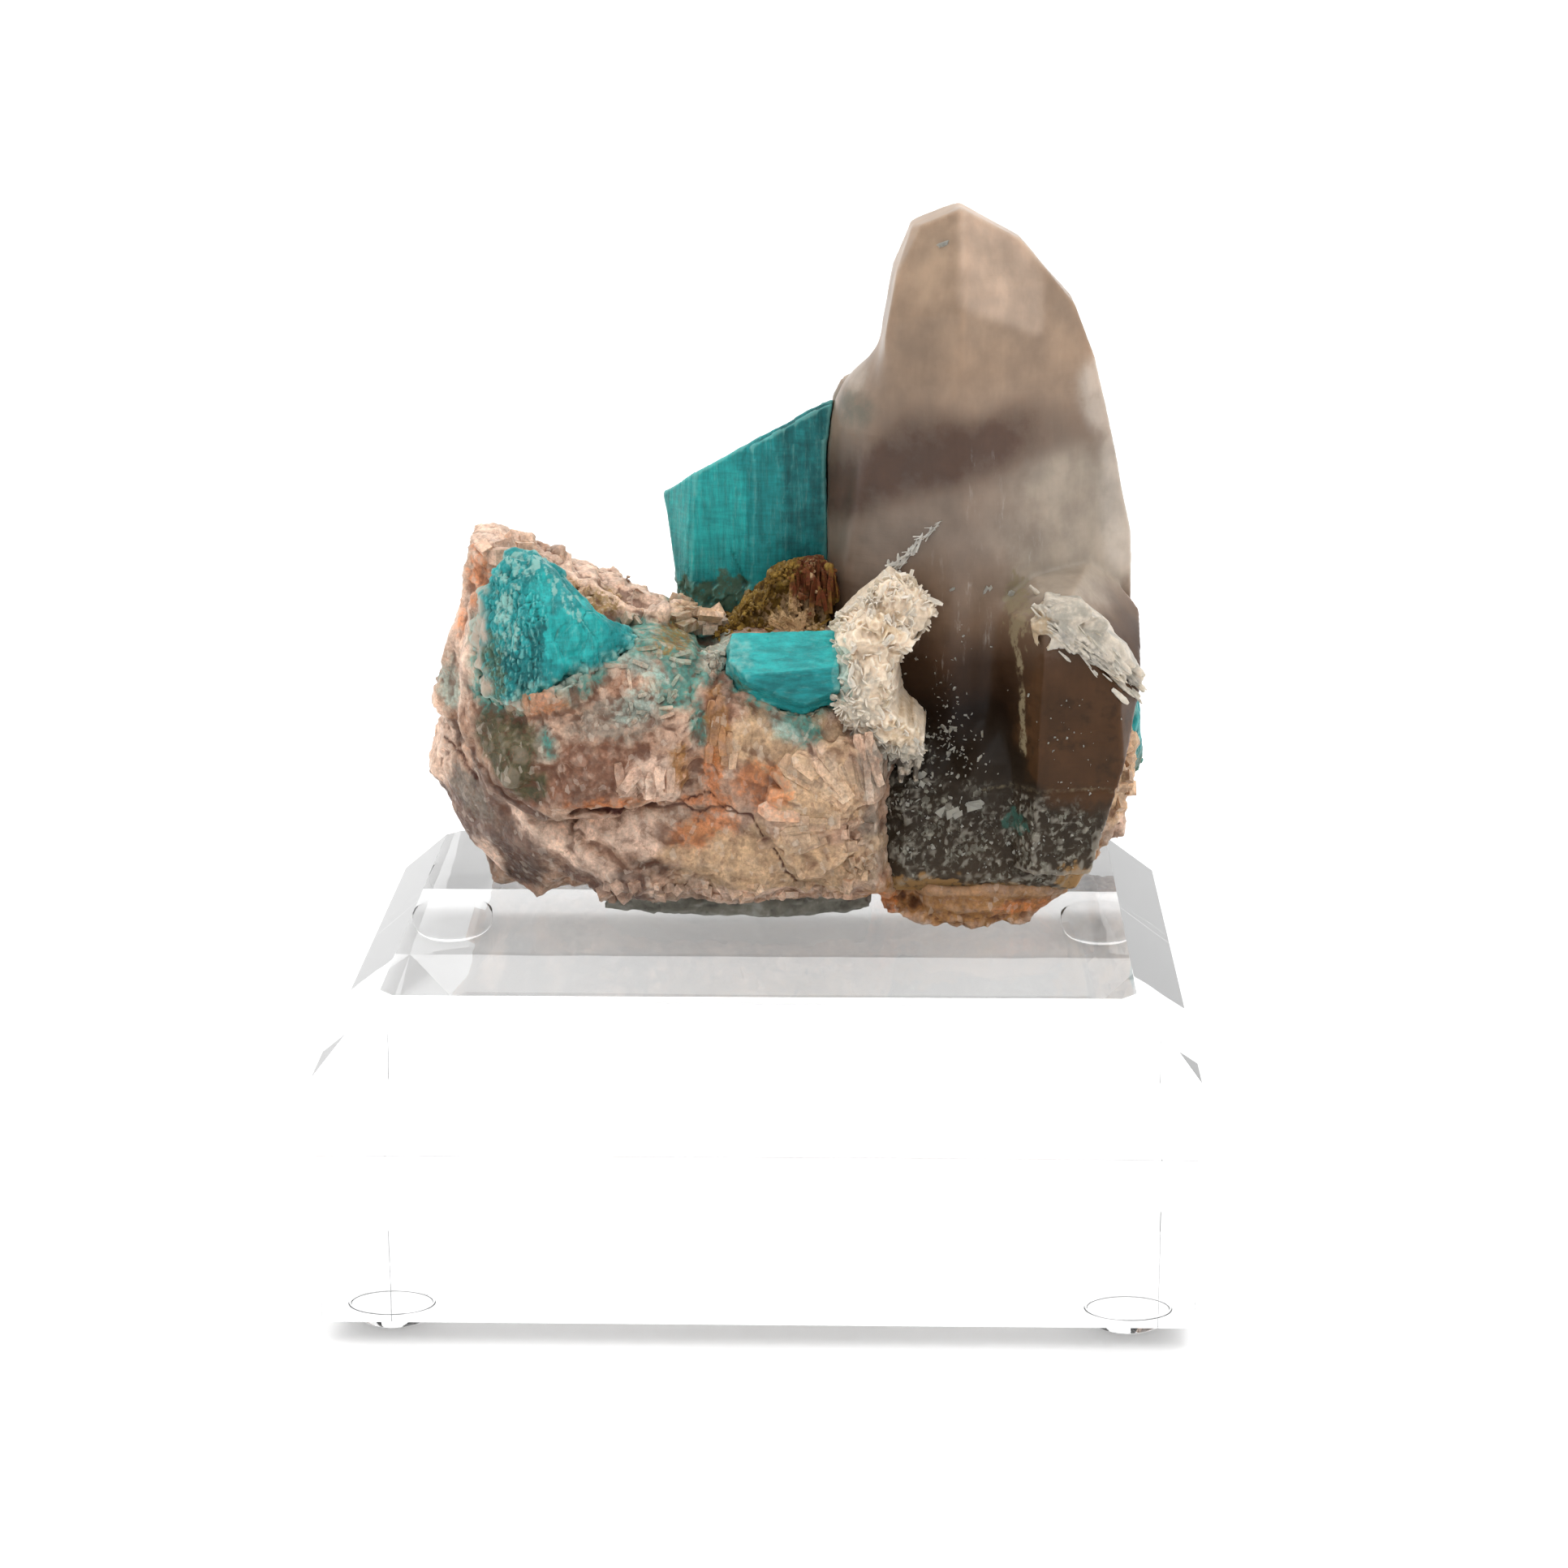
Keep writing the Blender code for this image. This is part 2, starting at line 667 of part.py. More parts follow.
# Main forms of the matrix, as lump() takes them
MATRIX_FORMS = [
    dict(
        name="lower_left_mass",
        outline=[
            (-30.4, 49.0), (-27.0, 50.0), (-20.0, 44.0), (-12.0, 40.0), (-11.0, 33.0),
            (-17.0, 33.2), (-21.5, 32.0), (-25.4, 35.0), (-29.2, 40.0), (-31.4, 43.4),
        ],
        front=[
            (-30, 44, 0.0), (-28, 40, -2.0), (-25, 43, -4.6), (-24, 36, -2.6),
            (-20, 39, -6.4), (-18, 33, -3.4), (-14, 36, -6.8),
        ],
        back=[(-28, 42, 12.0), (-24, 36, 15.0), (-16, 38, 17.0)],
        relief=0.7,
        seed=1,
    ),
    dict(
        name="peak_slab",
        outline=[
            (-26.6, 65.9), (-24.4, 66.0), (-21.6, 64.4), (-14.4, 61.0), (-8.6, 58.2), (-6.4, 54.4),
            (-7.0, 47.0), (-27.7, 46.0), (-30.4, 50.6), (-29.0, 56.0), (-27.6, 61.0),
        ],
        front=[(-25, 64, -2.6), (-28, 54, -2.4), (-20, 60, -0.6), (-11, 56, -0.8)],
        back=[(-26, 62, 7.6), (-28, 52, 9.8), (-16, 56, 9.6)],
        rim=1.6,
        seed=2,
    ),
    dict(
        name="left_lobe",
        outline=[
            (-26.0, 62.0), (-22.0, 63.6), (-17.6, 61.4), (-13.6, 58.0), (-9.6, 58.2),
            (-6.2, 57.0), (-4.4, 54.0), (-5.4, 48.4), (-7.6, 44.0), (-13.0, 42.6),
            (-20.0, 42.0), (-24.6, 45.0), (-27.4, 51.0), (-27.0, 56.0),
        ],
        front=[
            (-25, 60, -7.4), (-20, 60, -8.8), (-13, 56, -8.4), (-8, 56, -8.6), (-25, 52, -8.4),
            (-21, 47, -10.6), (-16, 50, -11.6), (-14, 45, -11.8), (-9, 50, -10.8), (-8.6, 46, -11.0),
        ],
        back=[(-16, 50, 5.0)],
        rim=2.2,
        relief=0.7,
        seed=4,
    ),
    dict(
        name="centre_mass",
        outline=[
            (-6.4, 56.0), (-2.6, 57.0), (6.6, 57.2), (9.9, 52.6), (11.4, 46.9),
            (12.0, 34.0), (8.0, 33.4), (-4.0, 33.2), (-12.6, 33.4), (-17.4, 35.4),
            (-19.6, 39.0), (-16.0, 42.0), (-8.0, 46.0),
        ],
        front=[
            (-17, 38, -7.2), (-13, 41, -7.8), (-12, 36, -8.4), (-6, 42, -7.4), (-5, 37, -8.8),
            (-3.6, 51, -9.8), (-1, 45, -9.0), (-1, 56, -6.4), (3, 54.6, -7.4), (7, 53, -7.6),
            (3, 49, -9.6), (2, 43, -10.6), (8, 46, -9.0), (3, 38, -9.2), (9, 38, -8.2),
            (4, 34.6, -6.4), (-6, 34.6, -6.0),
        ],
        back=[(0, 44, 12.0)],
        rim=1.8,
        relief=0.5,
        seed=6,
    ),
    dict(
        name="foot_of_quartz",
        outline=[
            (9.6, 37.6), (20.0, 38.0), (28.6, 36.6), (27.6, 34.0),
            (23.6, 31.2), (17.8, 30.8), (11.0, 32.4),
        ],
        front=[(13, 32.6, -6.8), (20, 32.4, -7.2), (26, 33, -6.6)],
        back=[(20, 34, 15.0)],
        rim=1.6,
        relief=0.5,
        step=2.2,
        seed=7,
    ),
    dict(
        name="back_mass",
        outline=[
            (-26.0, 30.6), (-29.6, 40.0), (-27.4, 49.0), (-23.0, 56.4), (-17.0, 58.6),
            (-12.0, 55.6), (-4.0, 50.6), (6.0, 52.6), (14.0, 48.8), (22.0, 51.4),
            (30.4, 48.6), (33.4, 41.0), (31.2, 33.0), (20.0, 30.4), (0.0, 30.0),
        ],
        front=[(-20, 45, 3.0), (0, 45, 3.0), (20, 42, 4.0)],
        back=[
            (-25, 38, 16.0), (-19, 51, 20.0), (-12, 38, 23.4), (-1, 47, 21.4),
            (7, 36, 24.0), (17, 45, 20.4), (24, 36, 21.0), (30, 45, 17.0),
        ],
        rim=4.0,
        relief=1.2,
        grain=6.0,
        step=3.0,
        seed=9,
    ),
    dict(
        name="right_chunk",
        outline=[
            (29.0, 33.2), (33.9, 33.9), (34.5, 38.0), (34.8, 44.0),
            (33.6, 50.4), (28.0, 52.0), (24.0, 44.0), (26.0, 35.0),
        ],
        front=[(31, 48, 9.6), (31, 38, 9.4)],
        back=[(31, 48, 19.6), (31, 37, 21.6)],
        rim=2.0,
        relief=0.7,
        seed=10,
    ),
]


def ridge_crystals():
    """Small blocks of feldspar that stand along the ridge behind the left lobe."""
    picks = random.Random(21)
    start = Vector((-25.0, 3.4, 64.2))
    end = Vector((-7.8, 4.4, 57.6))
    count = 16
    made = []
    for k in range(count):
        centre = start.lerp(end, k / (count - 1))
        centre += Vector((picks.uniform(-0.4, 0.4), picks.uniform(-3.4, 3.4), picks.uniform(-0.7, 0.3)))
        half = (picks.uniform(0.7, 1.3), picks.uniform(0.8, 1.7), picks.uniform(1.1, 1.9))
        turn = (picks.uniform(-25, 25), picks.uniform(-25, 25), picks.uniform(-40, 40))
        made.append(block(centre, half, turn))
    return made


def fan_of_blades():
    """Laths that spread up and left from a point low on the right of the centre mass."""
    hub = Vector((10.4, -9.0, 41.6))
    made = []
    count = 10
    for k in range(count):
        angle = math.radians(98 + 112 * k / (count - 1))
        reach = 10.8 - 0.5 * abs(k - 4)
        out = Vector((math.cos(angle), -0.1, math.sin(angle)))
        made.append(blade(hub + out * 2.6, hub + out * reach, 2.7, 1.5, (0.3 * (-1) ** k, -1, 0.1)))
    return made


def matrix_mass():
    forms = [lump(**form) for form in MATRIX_FORMS]
    base = forms.pop(0)
    base.name = "cleavelandite_matrix"
    join(base, forms)
    return join(base, fan_of_blades() + ridge_crystals())


def mounting_putty():
    """The lump of grey putty that holds the stone to the block."""
    base = lump(
        "mounting_putty",
        outline=[
            (-15.0, 31.2), (-13.0, 34.0), (-4.0, 34.8), (4.0, 34.6),
            (9.0, 33.6), (9.6, 31.6), (4.0, 29.0), (-8.0, 29.0),
        ],
        front=[(-10, 32, -2.6), (0, 32, -3.4), (7, 32, -3.0)],
        back=[(-3, 32, 13.0)],
        rim=1.2,
        relief=0.4,
        grain=3.0,
        step=2.2,
        seed=14,
    )
    return cut_below(base, REST_Z)


def build():
    clear_scene()
    clear_block()
    corners = {"front_left": (-1, -1), "front_right": (1, -1), "back_left": (-1, 1), "back_right": (1, 1)}
    for place, (sx, sy) in corners.items():
        foot("foot_" + place, sx * FOOT_X, sy * FOOT_Y)

    quartz = smoky_quartz()
    back = cut(amazonite_back(), quartz)
    left = amazonite_left()
    front = cut(amazonite_front(), quartz)
    right = cut(amazonite_right(), quartz)
    cluster = cut(pocket_cluster(), quartz, back)
    rose = cut(rosette(), quartz, front)
    crust = cut(side_crust(), quartz)
    putty = mounting_putty()
    matrix = matrix_mass()
    cut(matrix, quartz, back, left, front, right, cluster, rose, crust, putty)
    cut_below(matrix, REST_Z)

    finishes = {
        quartz: "quartz",
        back: "amazonite",
        left: "amazonite",
        front: "amazonite",
        right: "amazonite",
        cluster: "limonite",
        rose: "albite",
        crust: "albite",
        putty: "putty",
        matrix: "matrix",
    }
    for piece, name in finishes.items():
        finish(open_pinches(tidy(keep_main_body(piece))), name)


build()
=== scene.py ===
"""Looks of an amazonite, smoky quartz and cleavelandite specimen on its clear block.

Each mineral is a dense skin round its solid, roughened and broken like the real stone. Lengths are
millimetres in the frame's axes, X to the right, Y away from the viewer and Z up, until a mesh, a
light or the camera is placed.
"""

import itertools
import math
import random

import bmesh
import bpy
import numpy as np
from mathutils import Matrix, Vector
from mathutils.bvhtree import BVHTree


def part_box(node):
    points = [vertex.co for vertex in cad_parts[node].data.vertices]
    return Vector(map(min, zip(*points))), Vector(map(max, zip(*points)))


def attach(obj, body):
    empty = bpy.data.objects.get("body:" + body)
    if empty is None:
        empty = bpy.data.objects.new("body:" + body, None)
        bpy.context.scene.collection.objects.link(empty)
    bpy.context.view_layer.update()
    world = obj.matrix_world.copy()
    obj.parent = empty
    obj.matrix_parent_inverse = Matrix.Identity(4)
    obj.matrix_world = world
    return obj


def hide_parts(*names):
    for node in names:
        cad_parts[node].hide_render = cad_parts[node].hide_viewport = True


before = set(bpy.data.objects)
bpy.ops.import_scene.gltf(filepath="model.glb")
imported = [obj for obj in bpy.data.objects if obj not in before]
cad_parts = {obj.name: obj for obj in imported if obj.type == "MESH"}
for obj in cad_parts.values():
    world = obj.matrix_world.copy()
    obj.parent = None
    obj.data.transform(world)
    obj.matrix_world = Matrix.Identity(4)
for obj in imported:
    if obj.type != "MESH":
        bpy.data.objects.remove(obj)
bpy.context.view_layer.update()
MM = 0.001
BLOCK_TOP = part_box("clear_block")[1].z / MM
LOWEST = BLOCK_TOP + 0.1  # no stone reaches lower than this, so none sinks into the block
FAR_OFF = 60.0  # a distance at which nothing of the object stands
MOST_TRIANGLES = 190000  # in one piece

# Camera, from the photograph: its place, and the way it looks
CAMERA_AT = (11.8, -287.8, 130.9)
PITCH = 0.2965
YAW = -0.035
ROLL = -0.0076
SENSOR = 36.0
FOCAL_SHARE = 2.0852  # focal length over the picture's width

# White light from all round: strong from above, behind and the horizon, weak from the viewer's side
SKY_ABOVE = 1.75
SKY_BEHIND = 1.2
SKY_LOW = 1.1
SKY_FRONT = 0.3
SUN_TOWARDS = (0.3, -0.3, 0.9)
SUN_STRENGTH = 0.3
SUN_WIDTH = 40  # degrees across
FLOOR_REACH = 6.0  # metres from the middle to each side


# Noise that gives the same numbers each run


def hashed(cell, seed):
    """A number from 0 to 1 for each row of three whole numbers."""
    h = cell[:, 0] * 374761393 + cell[:, 1] * 668265263 + cell[:, 2] * 1440662683
    h = h + seed * 974634777
    for prime in (1274126177, 2246822519, 3266489917):
        h = h & 0xFFFFFFFF
        h = (h ^ (h >> 15)) * prime
    return ((h & 0xFFFFFFFF) >> 8) / 0xFFFFFF


def hashed_vector(cell, seed):
    return np.stack([hashed(cell, seed * 3 + k) for k in range(3)], axis=1)


def noise(points, size, seed=0):
    """Smooth noise of about -1 to 1, with features of that size."""
    p = points / size
    base = np.floor(p).astype(np.int64)
    f = p - base
    s = f * f * f * (f * (f * 6 - 15) + 10)
    total = np.zeros(len(p))
    for corner in itertools.product((0, 1), repeat=3):
        slope = hashed_vector(base + corner, seed) * 2 - 1
        weight = np.prod(np.where(corner, s, 1 - s), axis=1)
        total += weight * (slope * (f - corner)).sum(axis=1)
    return total * 1.6


def fractal(points, size, octaves=3, seed=0):
    return sum(noise(points, np.asarray(size) / 2**k, seed + k) / 2**k for k in range(octaves))


def cells(points, size, seed=0):
    """Splits space into cells about a size across. Gives each point's distance from its cell's
    border, its offset from the cell's middle, and the cell's own three numbers, -1 to 1."""
    p = points / size
    base = np.floor(p).astype(np.int64)
    nearest = np.full(len(p), 9.0)
    second = np.full(len(p), 9.0)
    offset = np.zeros_like(p)
    own = np.zeros_like(p)
    for shift in itertools.product((-1, 0, 1), repeat=3):
        cell = base + shift
        away = p - cell - hashed_vector(cell, seed)
        far = np.linalg.norm(away, axis=1)
        closer = far < nearest
        second = np.where(closer, nearest, np.minimum(second, far))
        nearest = np.where(closer, far, nearest)
        offset[closer] = away[closer]
        own[closer] = cell[closer]
    numbers = hashed_vector(own.astype(np.int64), seed + 50) * 2 - 1
    return second - nearest, offset, numbers


def facets(points, size, tilt, step=0.0, seed=0):
    """Heights of a surface broken into flat facets. Tilt sets how far each leans, and step how
    sharply its edge drops to the next one. Without a step they meet in shallow creases."""
    border, offset, numbers = cells(points, size, seed)
    leaning = (offset * numbers).sum(axis=1) * tilt * ease(border, 0.0, 0.3)
    return leaning + numbers[:, 0] * step


def grainwise(points, turn, wide, long, deep=2.0):
    """Coordinates for features that wide and long, drawn out at an angle in the front plane."""
    c = math.cos(math.radians(turn))
    s = math.sin(math.radians(turn))
    x, y, z = points.T
    return np.stack([(x * c + z * s) / long, (z * c - x * s) / wide, y / deep], axis=1)


def drift(points, size, seed):
    """Smooth noise as a vector for each point."""
    return np.stack([noise(points, size, seed + k) for k in range(3)], axis=1)


def ease(value, low, high):
    """0 below low, 1 above high, and smooth between."""
    share = np.clip((value - low) / (high - low), 0, 1)
    return share * share * (3 - 2 * share)


# Small closed shells, gathered before they grow into one skin or stay crisp


class Shells:
    """Small closed shells in one mesh."""

    def __init__(self):
        self.points = []
        self.faces = []
        self.sizes = []

    def rings(self, rings):
        """A body through rings of equally many points, from root to tip."""
        start = len(self.points)
        count = len(rings[0])
        self.sizes.append(count * len(rings))
        for ring in rings:
            self.points += [Vector(p) for p in ring]
        for level in range(len(rings) - 1):
            low = start + level * count
            for k in range(count):
                j = (k + 1) % count
                self.faces.append((low + k, low + j, low + count + j, low + count + k))
        self.faces.append(tuple(reversed(range(start, start + count))))
        last = start + (len(rings) - 1) * count
        self.faces.append(tuple(range(last, last + count)))

    def tones(self, picks):
        """A number for every point, the same all over each shell."""
        numbers = []
        for count in self.sizes:
            numbers += [picks.random()] * count
        return numbers

    def mesh(self, name):
        made = bpy.data.meshes.new(name)
        made.from_pydata([p * MM for p in self.points], [], self.faces)
        bm = bmesh.new()
        bm.from_mesh(made)
        bmesh.ops.triangulate(bm, faces=[f for f in bm.faces if len(f.verts) > 3])
        bmesh.ops.recalc_face_normals(bm, faces=bm.faces)
        bm.to_mesh(made)
        bm.free()
        return made


def axes_of(along, facing):
    """Across and through directions of a blade that runs along, its broad side to facing."""
    across = along.cross(Vector(facing))
    if across.length < 1e-6:
        across = along.cross(Vector((1, 0.3, 0.2)))
    across.normalize()
    return across, across.cross(along).normalized()


def lath(shells, root, tip, width, thickness, facing, widths=(0.6, 1.0, 0.45)):
    """A flat blade with straight edges and a blunt tip."""
    root = Vector(root)
    along = Vector(tip) - root
    across, through = axes_of(along, facing)
    rings = []
    for share, wide in zip((0.0, 0.75, 1.0), widths):
        a = across * width / 2 * wide
        t = through * thickness / 2
        centre = root + along * share
        rings.append([centre + a + t, centre - a + t, centre - a - t, centre + a - t])
    shells.rings(rings)


def petal(shells, root, tip, width, thickness, facing, bow=0.15):
    """A rounded blade, thinner at its edges and bowed towards facing."""
    root = Vector(root)
    along = Vector(tip) - root
    across, through = axes_of(along, facing)
    rings = []
    for share, wide in ((0, 0.35), (0.3, 0.85), (0.65, 1.0), (0.9, 0.7), (1.0, 0.25)):
        a = across * width / 2 * wide
        t = through * thickness / 2
        lift = through * (bow * width * 4 * share * (1 - share))
        centre = root + along * share + lift
        ring = [centre + a, centre + a * 0.5 + t, centre - a * 0.5 + t]
        ring += [centre - a, centre - a * 0.5 - t, centre + a * 0.5 - t]
        rings.append(ring)
    shells.rings(rings)


def chip(shells, centre, half, turn, picks, uneven=0.25):
    """A broken block: a box with its corners shifted."""
    turn_x, turn_y, turn_z = (Matrix.Rotation(a, 3, axis) for a, axis in zip(turn, "XYZ"))
    spin = turn_z @ turn_y @ turn_x
    centre = Vector(centre)
    rings = []
    for z in (-1, 1):
        ring = []
        for x, y in ((-1, -1), (1, -1), (1, 1), (-1, 1)):
            corner = [s * h * (1 - uneven * picks.random()) for s, h in zip((x, y, z), half)]
            ring.append(centre + spin @ Vector(corner))
        rings.append(ring)
    shells.rings(rings)


def any_turn(picks):
    return [picks.uniform(-math.pi, math.pi) for axis in range(3)]


def any_way(picks, spread=1.0):
    return Vector([picks.gauss(0, spread) for axis in range(3)])


# Dense surfaces, shaped point by point


class Surface:
    """A mesh whose points are moved and painted as arrays, in millimetres."""

    def __init__(self, name, mesh):
        self.mesh = mesh
        mesh.name = name
        self.object = bpy.data.objects.new(name, mesh)
        bpy.context.scene.collection.objects.link(self.object)
        self.read()

    def read(self):
        mesh = self.mesh
        flat = np.empty(len(mesh.vertices) * 3, np.float32)
        mesh.vertices.foreach_get("co", flat)
        self.points = flat.reshape(-1, 3).astype(float) / MM
        mesh.vertex_normals.foreach_get("vector", flat)
        self.normals = flat.reshape(-1, 3).astype(float)
        pairs = np.empty(len(mesh.edges) * 2, np.int32)
        mesh.edges.foreach_get("vertices", pairs)
        self.edges = pairs.reshape(-1, 2)

    def write(self):
        """Puts the points back into the mesh and renews the normals."""
        self.mesh.vertices.foreach_set("co", (self.points * MM).astype(np.float32).ravel())
        self.mesh.update()
        self.read()

    def push(self, heights):
        """Moves each point along its normal."""
        self.points += self.normals * heights[:, None]

    def averaged(self, values, rounds):
        """Values averaged with their neighbours' a few times over."""
        a, b = self.edges.T
        n = len(self.points)
        count = np.bincount(a, minlength=n) + np.bincount(b, minlength=n)
        flat = values.reshape(n, -1)
        for turn in range(rounds):
            total = np.stack(
                [
                    np.bincount(a, weights=column[b], minlength=n)
                    + np.bincount(b, weights=column[a], minlength=n)
                    for column in flat.T
                ],
                axis=1,
            )
            flat = (flat + total / count[:, None]) / 2
        return flat.reshape(values.shape)

    def relax(self, rounds):
        self.points = self.averaged(self.points, rounds)
        self.write()

    def hollows(self, rounds, depth):
        """1 in hollows, -1 on edges and tips, 0 on flat ground."""
        lifted = self.averaged(self.points, rounds) - self.points
        return np.clip((lifted * self.normals).sum(axis=1) / depth, -1, 1)

    def paint(self, name, values):
        layer = self.mesh.attributes.new(name, "FLOAT", "POINT")
        layer.data.foreach_set("value", np.asarray(values, np.float32))

    def thin_out(self, triangles):
        """Merges faces where the surface is flattest until no more than this many are left."""
        count = sum(len(p.vertices) - 2 for p in self.mesh.polygons)
        if count <= triangles:
            return
        self.apply("DECIMATE", ratio=triangles / count)

    def apply(self, kind, **settings):
        step = self.object.modifiers.new("step", kind)
        for key, value in settings.items():
            setattr(step, key, value)
        graph = bpy.context.evaluated_depsgraph_get()
        made = bpy.data.meshes.new_from_object(self.object.evaluated_get(graph))
        self.object.modifiers.clear()
        old = self.mesh
        name = old.name
        self.object.data = made
        bpy.data.meshes.remove(old)
        made.name = name
        self.mesh = made
        self.read()


SKINS = {
    "cleavelandite_matrix_skin": ("cleavelandite_matrix", 0.25, 0.5),
    "amazonite_back_skin": ("amazonite_crystal_back", 0.2, 0.4),
    "amazonite_left_skin": ("amazonite_crystal_left", 0.14, 0.3),
    "amazonite_front_skin": ("amazonite_crystal_front", 0.1, 0.2),
    "amazonite_right_skin": ("amazonite_crystal_right", 0.18, 0.36),
    "smoky_quartz_skin": ("smoky_quartz", 0.3, 0.6),
    "cleavelandite_rosette_skin": ("cleavelandite_rosette", 0.14, 0.28),
    "cleavelandite_crust_skin": ("cleavelandite_crust", 0.12, 0.24),
    "rust_stained_cluster_skin": ("rust_stained_cluster", 0.13, 0.26),
    "mounting_putty_skin": ("mounting_putty", 0.22, 0.4),
}


def skin(name, shells=None):
    """One closed skin round a node's solid and its shells."""
    node, fine, coarse = SKINS[name]
    voxel = fine
    bm = bmesh.new()
    bm.from_mesh(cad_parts[node].data)
    if shells:
        extra = shells.mesh("shells")
        bm.from_mesh(extra)
        bpy.data.meshes.remove(extra)
    mesh = bpy.data.meshes.new(name)
    bm.to_mesh(mesh)
    bm.free()
    made = Surface(name, mesh)
    made.apply("REMESH", mode="VOXEL", voxel_size=voxel * MM)
    return made


class Ground:
    """Finds the surface of some objects."""

    def __init__(self, *objects):
        points = []
        faces = []
        for o in objects:
            start = len(points)
            points += [v.co / MM for v in o.data.vertices]
            faces += [[start + i for i in p.vertices] for p in o.data.polygons]
        self.tree = BVHTree.FromPolygons(points, faces)

    def hit(self, start, towards):
        """The first surface point on the way from start, and its normal, or None."""
        at, normal, face, far = self.tree.ray_cast(Vector(start), Vector(towards))
        return None if at is None else (at, normal)

    def from_front(self, x, z):
        return self.hit((x, -FAR_OFF, z), (0, 1, 0))

    def from_back(self, x, z):
        return self.hit((x, FAR_OFF, z), (0, -1, 0))

    def distances(self, points, reach):
        """How far each point is from the surface, no more than reach."""
        found = []
        for p in points:
            at, normal, face, far = self.tree.find_nearest(Vector(p), reach)
            found.append(reach if at is None else far)
        return np.array(found)

    def settle(self, surface):
        """Lays a surface's points on the faces."""
        surface.points = np.array([self.tree.find_nearest(Vector(p))[0] for p in surface.points])
        surface.write()


def crisp(name, shells):
    """The shells as they are, as a surface to paint."""
    return Surface(name, shells.mesh(name))


def keep_off_block(surface):
    """Lifts the points that would sink into the block."""
    surface.points[:, 2] = np.maximum(surface.points[:, 2], LOWEST)
    surface.write()


def nodes(*names):
    return [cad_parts[name] for name in names]


def nearness(points, objects, reach):
    """1 on the surface of some objects, falling to 0 a reach away."""
    return 1 - Ground(*objects).distances(points, reach) / reach


def close_gaps(surface, neighbours, reach, swell):
    """Swells a surface towards its neighbours, so that no gap shows between pieces grown together."""
    surface.push(swell * nearness(surface.points, nodes(*neighbours), reach))
    surface.write()


# Places seen from the front

BEHIND_ALL = 30.0  # a patch that reaches back this far covers every depth


def in_patches(points, patches, ragged=0.35, grain=1.6, seed=0, back=6.0):
    """1 in the patches, (x, z, half width, half height, turn in degrees) seen from the front, and
    0 outside them or behind back. Ragged edges wander by noise of that grain."""
    wander = fractal(points, grain, 3, seed) * ragged
    most = np.zeros(len(points))
    for x, z, wide, high, turn in patches:
        c = math.cos(math.radians(turn))
        s = math.sin(math.radians(turn))
        dx = points[:, 0] - x
        dz = points[:, 2] - z
        inside = 1 - np.hypot((dx * c + dz * s) / wide, (dz * c - dx * s) / high)
        most = np.maximum(most, ease(inside + wander, -0.12, 0.3))
    return most * (1 - ease(points[:, 1], back - 2, back + 2))


def near_line(points, line, width, seed=0, wobble=0.25):
    """1 on a line of (x, z) points seen from the front, falling to 0 a width away."""
    x = points[:, 0] + noise(points, 1.5, seed) * wobble
    z = points[:, 2] + noise(points, 1.5, seed + 1) * wobble
    nearest = np.full(len(points), 9.0)
    for (x0, z0), (x1, z1) in zip(line, line[1:]):
        dx = x1 - x0
        dz = z1 - z0
        along = np.clip(((x - x0) * dx + (z - z0) * dz) / (dx * dx + dz * dz), 0, 1)
        nearest = np.minimum(nearest, np.hypot(x - x0 - along * dx, z - z0 - along * dz))
    return (1 - ease(nearest, 0.2 * width, width)) * (points[:, 1] < 3.0)


def paint_patches(surface, masks):
    """Paints masks: the name, its strength, then how ragged, the grain, the seed and the patches."""
    for name, strength, ragged, grain, seed, patches in masks:
        on = in_patches(surface.points, patches, ragged, grain, seed, BEHIND_ALL)
        surface.paint(name, strength * on)


# Materials

FELDSPAR_IOR = 1.53
QUARTZ_IOR = 1.544
ACRYLIC_IOR = 1.49


